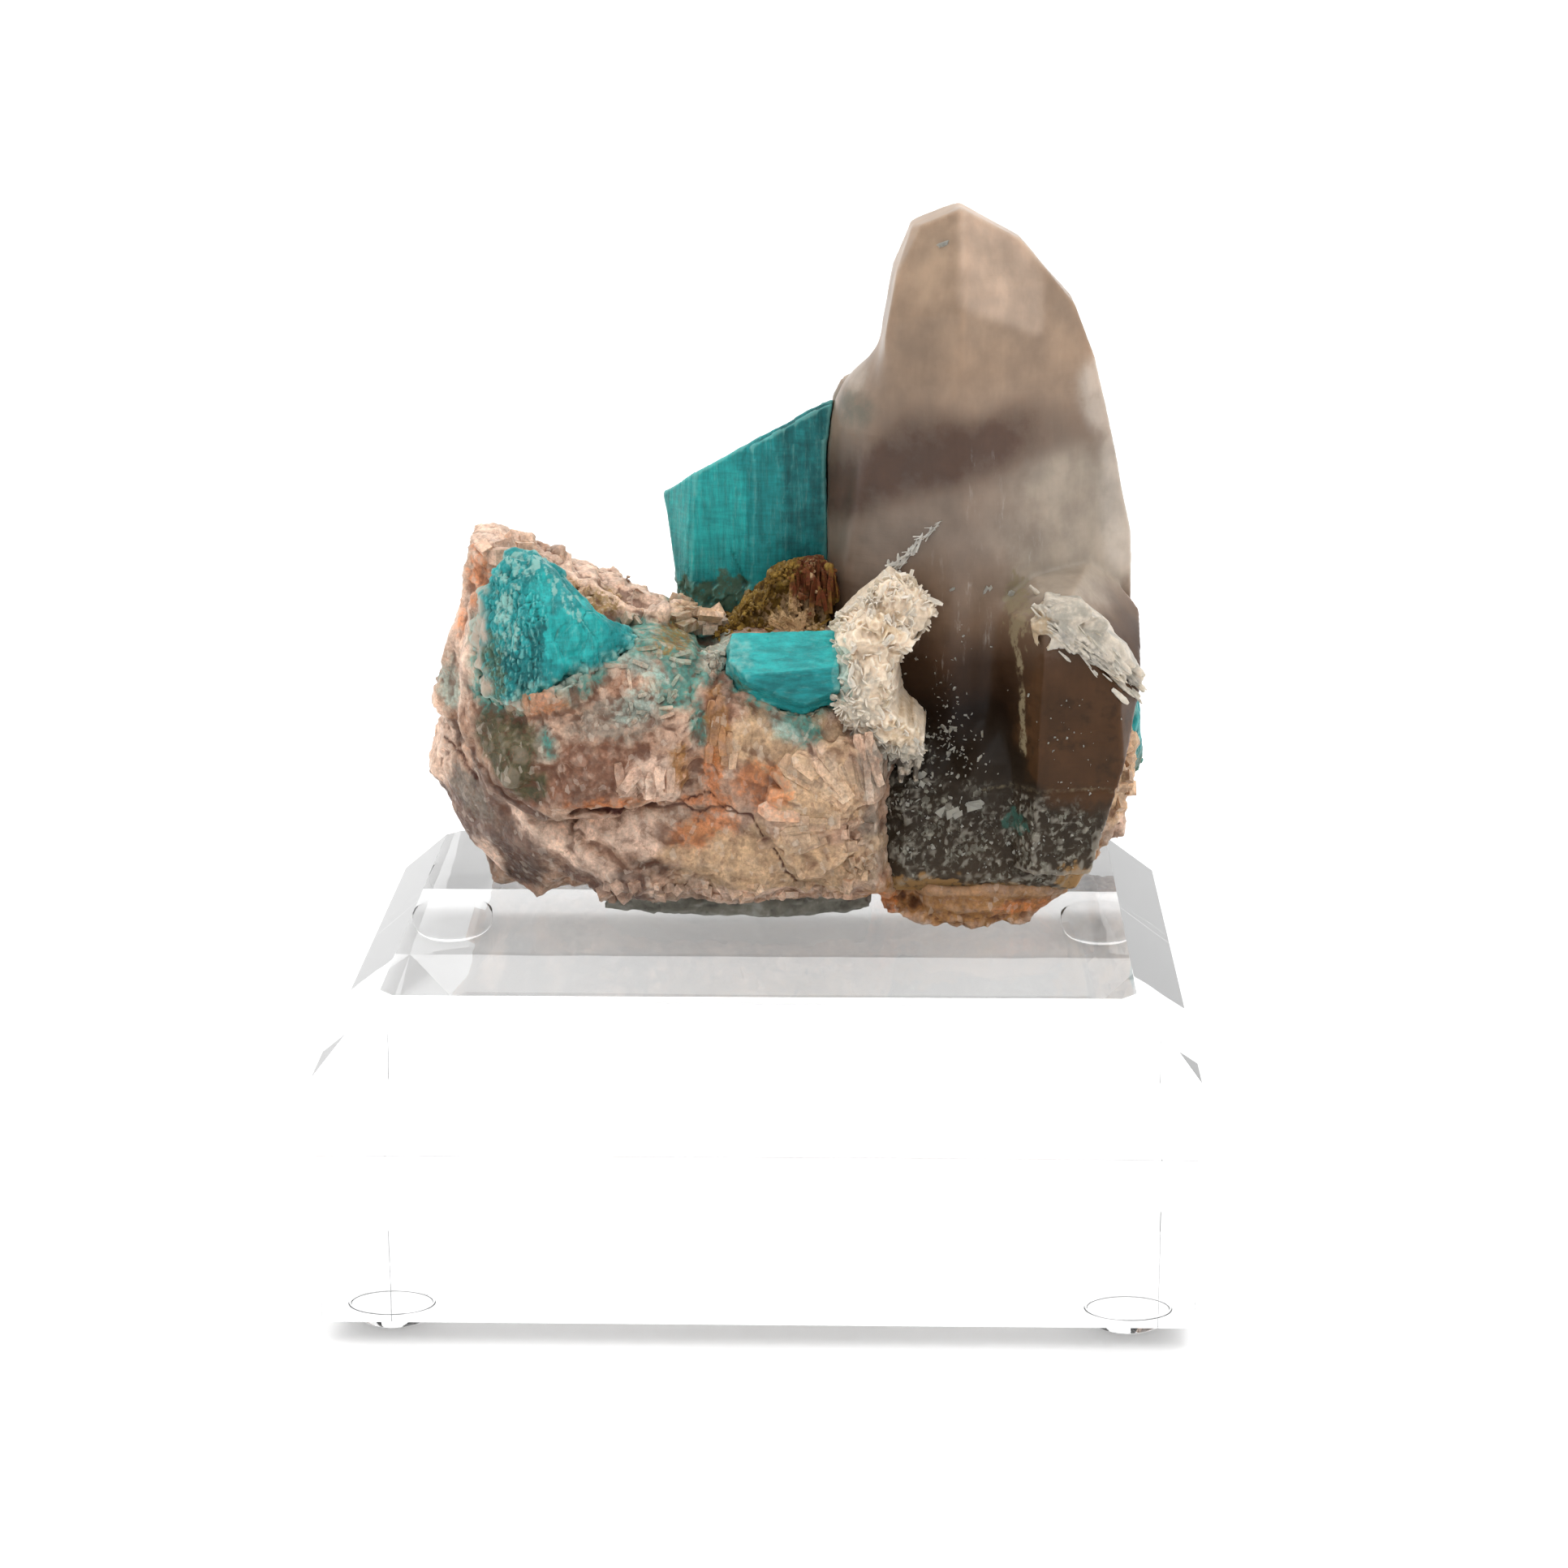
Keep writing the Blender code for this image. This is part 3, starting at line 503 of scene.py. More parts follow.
class Finish:
    """A material built from nodes by short calls. Sizes are in millimetres."""

    def __init__(self, name):
        self.material = bpy.data.materials.new(name)
        self.material.use_nodes = True
        self.tree = self.material.node_tree
        self.shader = self.tree.nodes["Principled BSDF"]
        self.place = self.tree.nodes.new("ShaderNodeTexCoord").outputs["Object"]

    def feed(self, socket, value):
        if isinstance(value, bpy.types.NodeSocket):
            self.tree.links.new(value, socket)
        elif isinstance(value, tuple) and len(value) == 3 and len(socket.default_value) == 4:
            socket.default_value = (*value, 1.0)
        else:
            socket.default_value = value

    def node(self, kind, **settings):
        made = self.tree.nodes.new(kind)
        for key, value in settings.items():
            setattr(made, key, value)
        return made

    def stretched(self, stretch):
        mapping = self.node("ShaderNodeMapping")
        self.tree.links.new(self.place, mapping.inputs["Vector"])
        mapping.inputs["Scale"].default_value = [1 / s for s in stretch]
        return mapping.outputs["Vector"]

    def noise(self, size, detail=3.0, stretch=(1, 1, 1), roughness=0.55, warp=0.0):
        made = self.node("ShaderNodeTexNoise")
        self.tree.links.new(self.stretched(stretch), made.inputs["Vector"])
        made.inputs["Scale"].default_value = 1 / (size * MM)
        made.inputs["Detail"].default_value = detail
        made.inputs["Roughness"].default_value = roughness
        made.inputs["Distortion"].default_value = warp
        return made.outputs["Fac"]

    def cells(self, size, stretch=(1, 1, 1), feature="F1"):
        """The distance within each cell, and a grey level of the cell's own."""
        made = self.node("ShaderNodeTexVoronoi", feature=feature)
        self.tree.links.new(self.stretched(stretch), made.inputs["Vector"])
        made.inputs["Scale"].default_value = 1 / (size * MM)
        own = self.node("ShaderNodeSeparateColor")
        self.tree.links.new(made.outputs["Color"], own.inputs["Color"])
        return made.outputs["Distance"], own.outputs["Red"]

    def mask(self, name):
        return self.node("ShaderNodeAttribute", attribute_name=name).outputs["Fac"]

    def ramp(self, value, stops):
        """Colours or grey levels at shares of the value."""
        made = self.node("ShaderNodeValToRGB")
        elements = made.color_ramp.elements
        while len(elements) < len(stops):
            elements.new(0.5)
        for element, (place, colour) in zip(elements, stops):
            element.position = place
            element.color = (*colour, 1) if isinstance(colour, tuple) else (colour,) * 3 + (1,)
        self.feed(made.inputs["Fac"], value)
        return made.outputs["Color"]

    def mix(self, share, low, high, kind="MIX"):
        made = self.node("ShaderNodeMix", data_type="RGBA", blend_type=kind)
        self.feed(made.inputs["Factor"], share)
        self.feed(made.inputs[6], low)
        self.feed(made.inputs[7], high)
        return made.outputs[2]

    def maths(self, kind, a, b=0.0):
        made = self.node("ShaderNodeMath", operation=kind)
        self.feed(made.inputs[0], a)
        self.feed(made.inputs[1], b)
        return made.outputs[0]

    def between(self, value, low, high, out_low=0.0, out_high=1.0):
        """The value mapped smoothly from low..high to another range."""
        made = self.node("ShaderNodeMapRange", interpolation_type="SMOOTHSTEP")
        self.feed(made.inputs["Value"], value)
        made.inputs["From Min"].default_value = low
        made.inputs["From Max"].default_value = high
        made.inputs["To Min"].default_value = out_low
        made.inputs["To Max"].default_value = out_high
        return made.outputs["Result"]

    def vary(self, colour, value, amount):
        """The colour made darker and lighter by the value's course."""
        grey = self.between(value, 0.25, 0.75, 1 - amount, 1 + amount)
        return self.mix(1.0, colour, grey, "MULTIPLY")

    def stain(self, under, name, colour, amount, size, wander):
        """Lays a colour over where the painted mask says, thinned and thickened by noise."""
        uneven = self.between(self.noise(size, 5, roughness=0.6), 0.3, 0.7, 1 - wander, 1 + wander)
        share = self.between(self.maths("MULTIPLY", self.mask(name), uneven), 0.05, 0.95, 0, amount)
        return self.mix(share, under, colour)

    def stains(self, under, rows):
        for row in rows:
            under = self.stain(under, *row)
        return under

    def edges(self, colour, hollow, hollow_amount, rim, rim_amount):
        """Painted shade in the hollows and a painted highlight on the edges and tips."""
        hollow_shade = self.between(self.mask("hollow"), 0.05, 0.9, 0, hollow_amount)
        wear_and_highlight = self.between(self.mask("hollow"), -0.9, -0.1, rim_amount, 0)
        return self.mix(wear_and_highlight, self.mix(hollow_shade, colour, hollow), rim)

    def bump(self, height, depth, under=None):
        made = self.node("ShaderNodeBump")
        made.inputs["Distance"].default_value = depth * MM
        self.feed(made.inputs["Height"], height)
        if under is not None:
            self.tree.links.new(under, made.inputs["Normal"])
        return made.outputs["Normal"]

    def set(self, **values):
        """Shader inputs by name, with _ for a space."""
        for key, value in values.items():
            self.feed(self.shader.inputs[key.replace("_", " ")], value)
        return self


def soft(finish, weight, radius, scale):
    """Light that wanders under the surface before it leaves."""
    finish.set(Subsurface_Weight=weight, Subsurface_Scale=scale * MM)
    finish.shader.inputs["Subsurface Radius"].default_value = radius
    return finish


# Colours of the finishes. Bodies, domains and zones are colours at shares of a noise or a mask, and the
# others are laid
# on like stains: mask, colour, strength, grain of the edge and how uneven it is. Some stand for painted
# light and shade.
AMAZONITE_SHADES = [
    ("light", (0.020, 0.35, 0.34), 0.85, 2.0, 0.3),
    ("deep", (0.003, 0.085, 0.09), 0.85, 1.6, 0.4),
]
AMAZONITE_STAINS = [
    ("pale", (0.26, 0.46, 0.41), 0.85, 0.8, 0.7),
    ("drab", (0.070, 0.105, 0.062), 0.9, 0.6, 0.6),
]
CLEAVELANDITE_STAINS = [
    ("grey", (0.40, 0.37, 0.31), 0.9, 0.6, 0.5),
    ("buff", (0.50, 0.36, 0.21), 0.8, 0.6, 0.5),
    ("dark", (0.060, 0.048, 0.036), 0.95, 0.5, 0.6),
    ("teal", (0.30, 0.47, 0.42), 0.7, 0.6, 0.6),
]
LIMONITE_BODY = [(0.3, (0.060, 0.026, 0.005)), (0.5, (0.20, 0.110, 0.016)), (0.7, (0.38, 0.24, 0.05))]
LIMONITE_STAINS = [
    ("red", (0.13, 0.028, 0.010), 0.9, 0.5, 0.5),
    ("pale", (0.60, 0.40, 0.22), 0.9, 0.5, 0.7),
]
QUARTZ_ZONES = [
    (0.00, (0.060, 0.042, 0.026)),
    (0.20, (0.020, 0.013, 0.008)),
    (0.28, (0.009, 0.004, 0.002)),
    (0.34, (0.046, 0.022, 0.011)),
    (0.41, (0.150, 0.094, 0.060)),
    (0.53, (0.230, 0.172, 0.132)),
    (0.64, (0.250, 0.178, 0.128)),
    (0.78, (0.330, 0.225, 0.150)),
    (0.91, (0.400, 0.280, 0.190)),
]
# Clouds of the quartz. The first two are painted light: the right side and the top right facet, lighter
# where the light falls
QUARTZ_CLOUDS_AND_PAINTED_LIGHT = [
    ("lit", (0.43, 0.36, 0.285), 0.8, 6.0, 0.35),
    ("facet", (0.54, 0.40, 0.30), 0.9, 2.5, 0.12),
    ("dusk", (0.062, 0.024, 0.010), 0.92, 4.0, 0.25),
    ("green", (0.135, 0.13, 0.092), 0.8, 1.2, 0.4),
    ("haze", (0.58, 0.51, 0.44), 0.6, 2.5, 0.35),
    ("tea", (0.070, 0.032, 0.013), 0.92, 1.6, 0.45),
]
# Stains of the quartz. The last is in part a painted highlight along an edge
QUARTZ_STAINS_AND_HIGHLIGHT = [
    ("sea", (0.04, 0.11, 0.085), 0.8, 0.6, 0.8),
    ("amber", (0.33, 0.19, 0.075), 0.9, 0.7, 0.7),
    ("seam_and_highlight", (0.27, 0.22, 0.135), 0.8, 0.6, 0.9),
]


def amazonite_finish(name, streak, wispy=0.35):
    """Blue-green feldspar with pale streaks that run down the crystal."""
    f = Finish(name)
    body = f.mix(f.noise(3.0, 3, (1, 1, 2.5)), (0.004, 0.135, 0.14), (0.016, 0.30, 0.30))
    body = f.stains(body, AMAZONITE_SHADES)
    body = f.vary(body, f.noise(0.5, 4, streak, 0.7), 0.30)
    body = f.vary(body, f.noise(0.35, 3, (6, 6, 0.8), 0.6), 0.14)
    wisps = f.between(f.noise(0.4, 5, streak, 0.75), 0.52, 0.8, 0, wispy)
    body = f.mix(wisps, body, (0.20, 0.43, 0.39))
    body = f.stains(body, AMAZONITE_STAINS)
    rind = f.mix(f.noise(0.8, 4), (0.36, 0.27, 0.20), (0.60, 0.45, 0.36))
    body = f.mix(f.maths("MULTIPLY", f.mask("rind"), 0.85), body, rind)
    # Painted shade in the hollows and a painted highlight on the edges
    body = f.edges(body, (0.008, 0.045, 0.04), 0.55, (0.25, 0.55, 0.50), 0.35)
    gloss = f.between(f.noise(0.8, 4), 0.3, 0.7, 0.32, 0.5)
    height = f.maths("ADD", f.noise(0.3, 4, streak, 0.7), f.maths("MULTIPLY", f.noise(0.2, 3), 0.5))
    f.set(Base_Color=body, Roughness=gloss, Normal=f.bump(height, 0.07))
    f.set(IOR=FELDSPAR_IOR, Specular_IOR_Level=0.2)
    return soft(f, 0.3, (0.2, 1.0, 0.95), 1.0).material


MATRIX_BODY = [(0.32, (0.24, 0.125, 0.08)), (0.5, (0.39, 0.24, 0.16)), (0.68, (0.54, 0.37, 0.27))]
MATRIX_DOMAINS = [
    (0.1, (0.24, 0.19, 0.15)),
    (0.35, (0.52, 0.34, 0.25)),
    (0.65, (0.33, 0.17, 0.10)),
    (0.9, (0.66, 0.52, 0.41)),
]
MATRIX_STAINS = [
    ("mauve", (0.100, 0.058, 0.045), 0.85, 1.8, 0.4),
    ("brown", (0.075, 0.040, 0.026), 0.9, 1.2, 0.4),
    ("tan", (0.150, 0.060, 0.032), 0.9, 1.0, 0.4),
    ("grey", (0.215, 0.175, 0.135), 0.85, 0.8, 0.6),
    ("beige", (0.50, 0.33, 0.19), 0.9, 1.6, 0.25),
    ("cream", (0.72, 0.51, 0.39), 0.9, 1.0, 0.35),
    ("amber", (0.32, 0.150, 0.045), 0.9, 0.8, 0.5),
    ("olive", (0.066, 0.062, 0.026), 0.95, 1.0, 0.25),
    ("teal", (0.040, 0.215, 0.180), 0.9, 0.7, 0.5),
    ("frost", (0.34, 0.43, 0.37), 0.75, 0.6, 0.6),
    ("ochre", (0.26, 0.155, 0.035), 0.85, 0.5, 0.9),
    ("rust", (0.52, 0.165, 0.045), 0.7, 0.7, 0.6),
]


def matrix_finish(name, fresh=0.0):
    """Pink, tan and mauve feldspar with teal, olive and iron-stained places, fainter where fresh, with
    painted shade in its cracks and hollows, a painted highlight on its edges and painted glints in small
    specks.
    """
    f = Finish(name)
    body = f.ramp(f.noise(5.0, 5, roughness=0.6), MATRIX_BODY)
    body = f.mix(0.35, body, f.ramp(f.mask("domain"), MATRIX_DOMAINS))
    if fresh:
        body = f.mix(fresh, body, (0.74, 0.54, 0.41))
    for stain, colour, amount, size, wander in MATRIX_STAINS:
        body = f.stain(body, stain, colour, amount * (1 - fresh), size, wander)
    body = f.vary(body, f.mask("tone"), 0.14)
    body = f.vary(body, f.mask("domain"), 0.12)
    body = f.vary(body, f.noise(1.3, 4, roughness=0.6), 0.28)
    body = f.vary(body, f.noise(0.35, 4, roughness=0.65), 0.26)
    # Painted glints and pit shade: the palest specks are painted lighter, as glints, and the darkest
    # darker, as shade in pits
    glint_and_pit_specks = f.cells(0.45, (1, 1, 1.6))[1]
    body = f.mix(f.between(glint_and_pit_specks, 0.82, 1.0, 0, 0.3), body, (0.70, 0.60, 0.50))
    body = f.mix(f.between(glint_and_pit_specks, 0.0, 0.14, 0.35, 0), body, (0.13, 0.065, 0.04))
    winding = f.noise(2.4, 5, roughness=0.6, warp=0.8)
    veins = f.maths("MULTIPLY", f.between(winding, 0.485, 0.5), f.between(winding, 0.5, 0.515, 1, 0))
    body = f.mix(f.maths("MULTIPLY", veins, 0.35), body, (0.22, 0.085, 0.04))
    # Painted shade in the hollows and a painted highlight on the edges
    body = f.edges(body, (0.13, 0.050, 0.026), 0.7, (0.74, 0.60, 0.48), 0.13)
    # Near-black red where the crack mask says: painted shade with some dark red staining along the matrix's
    # cracks, and a few dark chips on the crystals
    body = f.mix(f.between(f.mask("crack"), 0.1, 0.9, 0, 0.93), body, (0.050, 0.005, 0.002))
    gloss = f.between(f.noise(0.6, 3), 0.35, 0.65, 0.35, 0.62)
    height = f.maths("ADD", f.noise(0.3, 4, roughness=0.7), f.maths("MULTIPLY", f.noise(0.9, 3), 1.2))
    f.set(Base_Color=body, Roughness=gloss, Normal=f.bump(height, 0.10))
    f.set(IOR=FELDSPAR_IOR, Specular_IOR_Level=0.25)
    return soft(f, 0.25, (1.0, 0.6, 0.42), 0.8).material


def cleavelandite_finish(name, body, haze=0.0):
    """Cream-white blades, soft in the light, greyer where the mask says."""
    f = Finish(name)
    lighter = tuple(min(1.0, c * 1.22 + 0.03) for c in body)
    colour = f.mix(f.between(f.noise(1.6, 4), 0.3, 0.7), body, lighter)
    colour = f.stains(colour, CLEAVELANDITE_STAINS)
    colour = f.vary(colour, f.noise(0.4, 4), 0.10)
    # Painted shade in the hollows and a painted highlight on the edges
    colour = f.edges(colour, (0.36, 0.22, 0.12), 0.5, (0.93, 0.86, 0.75), 0.4)
    f.set(Base_Color=colour, Roughness=f.between(f.noise(0.5, 3), 0.3, 0.7, 0.35, 0.55))
    f.set(Normal=f.bump(f.noise(0.25, 4, roughness=0.7), 0.05), Transmission_Weight=haze)
    f.set(IOR=FELDSPAR_IOR, Specular_IOR_Level=0.35)
    return soft(f, 0.45, (1.0, 0.8, 0.62), 0.9).material


def limonite_finish(name):
    """Blades rusted ochre and dark red, with some left pinkish white."""
    f = Finish(name)
    body = f.ramp(f.noise(0.8, 5), LIMONITE_BODY)
    body = f.stains(body, LIMONITE_STAINS)
    body = f.vary(body, f.noise(0.25, 4), 0.3)
    # Painted shade in the hollows and a painted highlight on the edges
    body = f.edges(body, (0.016, 0.005, 0.002), 0.9, (0.46, 0.34, 0.18), 0.45)
    f.set(Base_Color=body, Roughness=0.7, Normal=f.bump(f.noise(0.2, 4, roughness=0.75), 0.10))
    f.set(Specular_IOR_Level=0.25)
    return f.material


def quartz_finish():
    """Satiny smoky quartz, zoned from tan at the tip to nearly black at the root."""
    f = Finish("smoky_quartz")
    body = f.stains(f.ramp(f.mask("zone"), QUARTZ_ZONES), QUARTZ_CLOUDS_AND_PAINTED_LIGHT)
    body = f.vary(body, f.noise(9.0, 3), 0.10)
    body = f.vary(body, f.noise(4.0, 4), 0.18)
    body = f.vary(body, f.noise(1.2, 4, (1, 1, 3), 0.6), 0.07)
    wisps = f.between(f.noise(0.7, 5, (1, 1, 5), 0.7), 0.55, 0.8, 0, 0.55)
    body = f.mix(f.maths("MULTIPLY", wisps, f.mask("wisps")), body, (0.55, 0.50, 0.44))
    for size, low, strength in ((0.55, 0.78, 0.4), (0.28, 0.6, 0.7)):
        flake = f.between(f.cells(size, (1, 1, 1.3))[1], low, 1.0, 0, strength)
        share = f.maths("MULTIPLY", flake, f.between(f.noise(1.8, 4, roughness=0.65), 0.42, 0.6))
        body = f.mix(f.maths("MULTIPLY", share, f.mask("gritty")), body, (0.30, 0.29, 0.235))
    body = f.stains(body, QUARTZ_STAINS_AND_HIGHLIGHT)
    # Painted highlight: the edges and tips of the gritty foot are painted paler
    wear_and_highlight = f.maths("MULTIPLY", f.mask("gritty"), f.between(f.mask("hollow"), -0.9, -0.1, 0.5, 0))
    body = f.mix(wear_and_highlight, body, (0.33, 0.31, 0.26))
    clear = f.between(f.mask("zone"), 0.3, 0.6, 0.04, 0.22)
    gloss = f.between(f.noise(2.0, 3), 0.3, 0.7, 0.30, 0.42)
    grit = f.maths("MULTIPLY", f.noise(0.22, 3), f.mask("gritty"))
    height = f.maths("ADD", f.maths("MULTIPLY", f.noise(0.45, 4, (8, 8, 1)), 0.35), grit)
    f.set(Base_Color=body, Roughness=gloss, Normal=f.bump(height, 0.07), IOR=QUARTZ_IOR)
    f.set(Transmission_Weight=clear, Specular_IOR_Level=f.between(f.mask("zone"), 0.3, 0.6, 0.1, 0.3))
    return soft(f, 0.7, (1.0, 0.8, 0.68), 2.0).material


PUTTY_BODY = [(0.3, (0.10, 0.095, 0.075)), (0.55, (0.19, 0.18, 0.145)), (0.75, (0.34, 0.34, 0.30))]


def putty_finish():
    f = Finish("putty")
    body = f.ramp(f.noise(1.8, 5), PUTTY_BODY)
    # Painted shade in the hollows and a painted highlight on the edges
    body = f.edges(body, (0.03, 0.03, 0.025), 0.8, (0.42, 0.42, 0.38), 0.3)
    f.set(Base_Color=body, Roughness=0.6, Normal=f.bump(f.noise(0.7, 3), 0.1), Specular_IOR_Level=0.4)
    return f.material


def clear_finish(name, tint, bend):
    """Clear plastic with the faintest polishing haze."""
    f = Finish(name)
    haze = f.between(f.noise(9.0, 4), 0.4, 0.75, 0.0, 0.03)
    f.set(Base_Color=tint, Roughness=haze, Transmission_Weight=1.0, IOR=bend)
    f.set(Normal=f.bump(f.noise(14.0, 2), 0.02))
    return f.material


# The pieces


def placed(surface, material, slot, *replaced, flat=False):
    """Gives a finished surface its material and its place in the model."""
    mesh = surface.mesh
    mesh.materials.clear()
    mesh.materials.append(material)
    if flat:
        mesh.shade_flat()
    else:
        mesh.shade_smooth()
    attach(surface.object, "root")
    if replaced:
        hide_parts(*replaced)
    return surface.object


# Lines on the front of the matrix, as (x, z) points
CREVICE = [(-16.8, 43.3), (-14.2, 43.7), (-12.4, 43.2)]
SEAM_ON = [(-12.4, 43.2), (-10.0, 43.1), (-5.8, 42.7), (-2.4, 43.0)]
LEDGE = [(-27.6, 48.9), (-26.2, 48.1), (-24.7, 46.4), (-23.0, 44.3)]
LEDGE += [(-19.7, 42.9), (-15.8, 39.6), (-11.6, 37.3), (-9.2, 37.6)]
LONG_CRACK = [(-7.3, 43.6), (-5.0, 44.5), (-2.4, 43.0), (-1.0, 42.8), (0.8, 40.1), (2.6, 37.2), (3.6, 34.6)]
COLUMN_CRACK = [(-6.8, 51.0), (-4.9, 52.7), (-3.6, 53.9), (-3.2, 55.4)]
MASS_CRACK = [(-29.6, 47.2), (-27.6, 46.2), (-26.4, 44.6)]
PALE_RIDGE = [(-24.6, 44.4), (-21.6, 42.0), (-18.0, 39.2), (-14.4, 36.6), (-11.8, 35.6)]

# Cracks: the line, its depth, its width and how dark it is painted, as shade with some dark red staining
CRACKS = [
    (CREVICE, 1.3, 0.6, 1.0),
    (SEAM_ON, 0.35, 0.3, 0.6),
    (LEDGE, 0.35, 0.4, 0.3),
    (LONG_CRACK, 0.25, 0.24, 0.8),
    (COLUMN_CRACK, 0.2, 0.25, 0.5),
    (MASS_CRACK, 0.35, 0.35, 0.6),
]

# Places with a grain, as in_patches() takes them, then the grain's angle, width, length, lean and step
GRAINED = [
    ((-12.4, 40.9, 6.4, 2.5, -12), -35, 1.5, 6.0, 0.35, 0.12),
    ((0.6, 38.0, 9.8, 3.8, 0), -55, 2.6, 9.0, 0.20, 0.05),
    ((-9.6, 46.0, 3.2, 2.4, 0), 80, 1.6, 4.5, 0.28, 0.15),
    ((-3.4, 51.6, 2.4, 4.6, 0), 88, 0.9, 7.0, 0.18, 0.10),
    ((-0.2, 50.0, 2.0, 3.0, 0), 80, 2.4, 6.0, 0.15, 0.06),
    ((-27.4, 55.5, 2.2, 7.0, 0), 82, 0.7, 4.0, 0.20, 0.08),
    ((-24.6, 39.4, 6.8, 7.6, 0), -52, 2.6, 10.0, 0.35, 0.06),
    ((-17.6, 38.8, 6.5, 1.8, -34), -34, 1.0, 8.0, 0.20, 0.12),
    ((19.0, 34.4, 11.5, 2.8, 0), 4, 1.2, 6.0, 0.20, 0.06),
    ((-9.8, 57.2, 4.8, 1.6, -8), -12, 0.7, 4.0, 0.25, 0.12),
]
FAN = (3.0, 45.8, 7.8, 6.8, 20)
FAN_HUB = (9.6, -8.6, 42.6)

# Places where the matrix swells forwards and up over its neighbours, or sinks back, and by how much
SWOLLEN = [
    ((-2.3, 53.6, 1.7, 1.5, -40), 0.5),
    ((5.6, 50.6, 2.2, 1.5, 35), 0.3),
    ((-20.2, 53.8, 5.0, 1.6, 6), 2.3),
]
SUNKEN = [
    ((21.5, 34.0, 12.5, 2.8, 0), 1.2),
    ((17.6, 36.8, 4.6, 2.2, 0), 2.6),
    ((13.2, 42.0, 2.7, 9.5, 0), 4.0),
]

# Coloured places of the matrix, as in_patches() takes them
STAINED = {
    "mauve": [(-24.8, 40.5, 6.2, 7.2, 0), (-15.0, 36.2, 6.0, 2.4, -15)],
    "brown": [
        (-22.6, 35.6, 2.6, 2.4, 0),
        (-28.4, 48.4, 1.6, 1.2, -30),
        (-9.4, 37.6, 2.6, 0.8, -10),
        (5.8, 35.4, 1.2, 0.4, 0),
    ],
    "tan": [
        (-14.2, 47.8, 5.6, 3.0, 0),
        (-3.8, 52.0, 1.7, 3.8, 0),
        (-16.5, 45.8, 4.2, 1.8, 0),
        (-20.0, 46.0, 3.0, 2.6, 0),
    ],
    "grey": [
        (-13.0, 51.9, 4.8, 1.9, 0),
        (9.8, 39.6, 1.0, 4.0, 0),
        (10.2, 47.6, 1.6, 2.8, 0),
        (-19.4, 50.0, 1.6, 2.0, 0),
        (-27.0, 43.0, 1.5, 4.0, 35),
    ],
    "beige": [
        (4.4, 46.8, 4.6, 6.2, 35),
        (1.0, 38.2, 10.8, 4.2, 0),
        (-0.4, 49.8, 2.4, 3.6, 0),
        (-6.2, 58.9, 3.6, 1.3, -10),
    ],
    "cream": [
        (-27.4, 56.8, 2.2, 5.8, 0),
        (-24.2, 65.2, 2.8, 1.9, 0),
        (-9.2, 46.4, 3.2, 2.6, 0),
        (-14.0, 61.2, 6.8, 1.5, -22),
        (-17.6, 38.9, 6.8, 1.3, -34),
        (-30.4, 47.0, 2.0, 4.6, 0),
        (-20.4, 40.4, 1.2, 4.4, 50),
        (-25.6, 36.6, 1.2, 2.2, 20),
        (-2.0, 34.6, 10.0, 0.7, 0),
        (-12.8, 40.6, 4.4, 2.0, -8),
        (4.4, 49.4, 3.6, 0.8, -40),
    ],
    "amber": [(20.5, 34.0, 12.5, 3.6, 0), (-3.8, 50.6, 1.2, 4.4, 0), (-7.2, 47.0, 0.8, 2.4, 0)],
    "olive": [(-22.8, 49.6, 3.4, 4.2, 15), (-21.0, 46.4, 2.4, 2.0, 0)],
    "teal": [
        (-10.2, 57.7, 4.4, 1.0, -5),
        (-7.1, 55.0, 2.4, 2.8, -20),
        (-5.5, 50.8, 0.7, 2.3, 0),
        (-24.6, 57.2, 1.3, 3.0, 0),
        (-24.2, 53.4, 2.4, 1.4, -20),
        (-18.8, 50.0, 0.6, 1.8, 20),
        (-15.6, 55.2, 2.6, 1.1, 25),
        (3.2, 51.0, 2.2, 1.6, -20),
    ],
    "frost": [
        (-28.6, 53.0, 1.3, 2.8, 0),
        (-11.0, 56.4, 4.0, 0.8, -24),
        (-16.8, 56.0, 1.0, 1.8, -35),
        (-21.0, 56.0, 2.8, 0.6, 6),
        (-11.0, 53.2, 2.4, 1.3, 15),
        (2.2, 50.6, 1.8, 0.8, -30),
        (-4.2, 56.6, 1.2, 1.2, 0),
    ],
    "ochre": [(-15.5, 60.4, 3.2, 0.9, -25), (-19.3, 62.6, 2.2, 0.7, -35), (-8.4, 57.6, 2.4, 0.6, 0)],
    "rust": [
        (-19.2, 53.7, 2.8, 1.3, -8),
        (-25.4, 63.6, 1.1, 2.4, 0),
        (-5.6, 41.0, 3.6, 1.5, 20),
        (0.3, 45.6, 2.4, 2.5, 30),
        (-20.0, 53.9, 3.0, 0.8, 0),
        (-5.0, 43.7, 3.4, 0.7, 0),
        (-4.4, 46.8, 1.1, 2.4, 0),
        (-13.8, 44.3, 4.4, 0.55, 0),
        (-27.4, 58.6, 0.6, 1.6, 0),
        (10.6, 33.2, 1.6, 1.5, 0),
        (24.0, 32.8, 3.0, 0.8, 0),
    ],
}

# How much of the back each colour covers
STREWN = {
    "teal": 0.04,
    "olive": 0.16,
    "rust": 0.06,
    "ochre": 0.08,
    "cream": 0.30,
    "mauve": 0.26,
    "grey": 0.2,
    "beige": 0.26,
}
FRONT_CRYSTALS = ("amazonite_crystal_left", "amazonite_crystal_front", "amazonite_crystal_back")


def scattered(points, size, share, seed):
    """Places of that size strewn over the back, covering about that share of it."""
    return ease(points[:, 1], 3.0, 8.0) * ease(fractal(points, size, 3, seed), 0.55 - share, 0.95 - share)


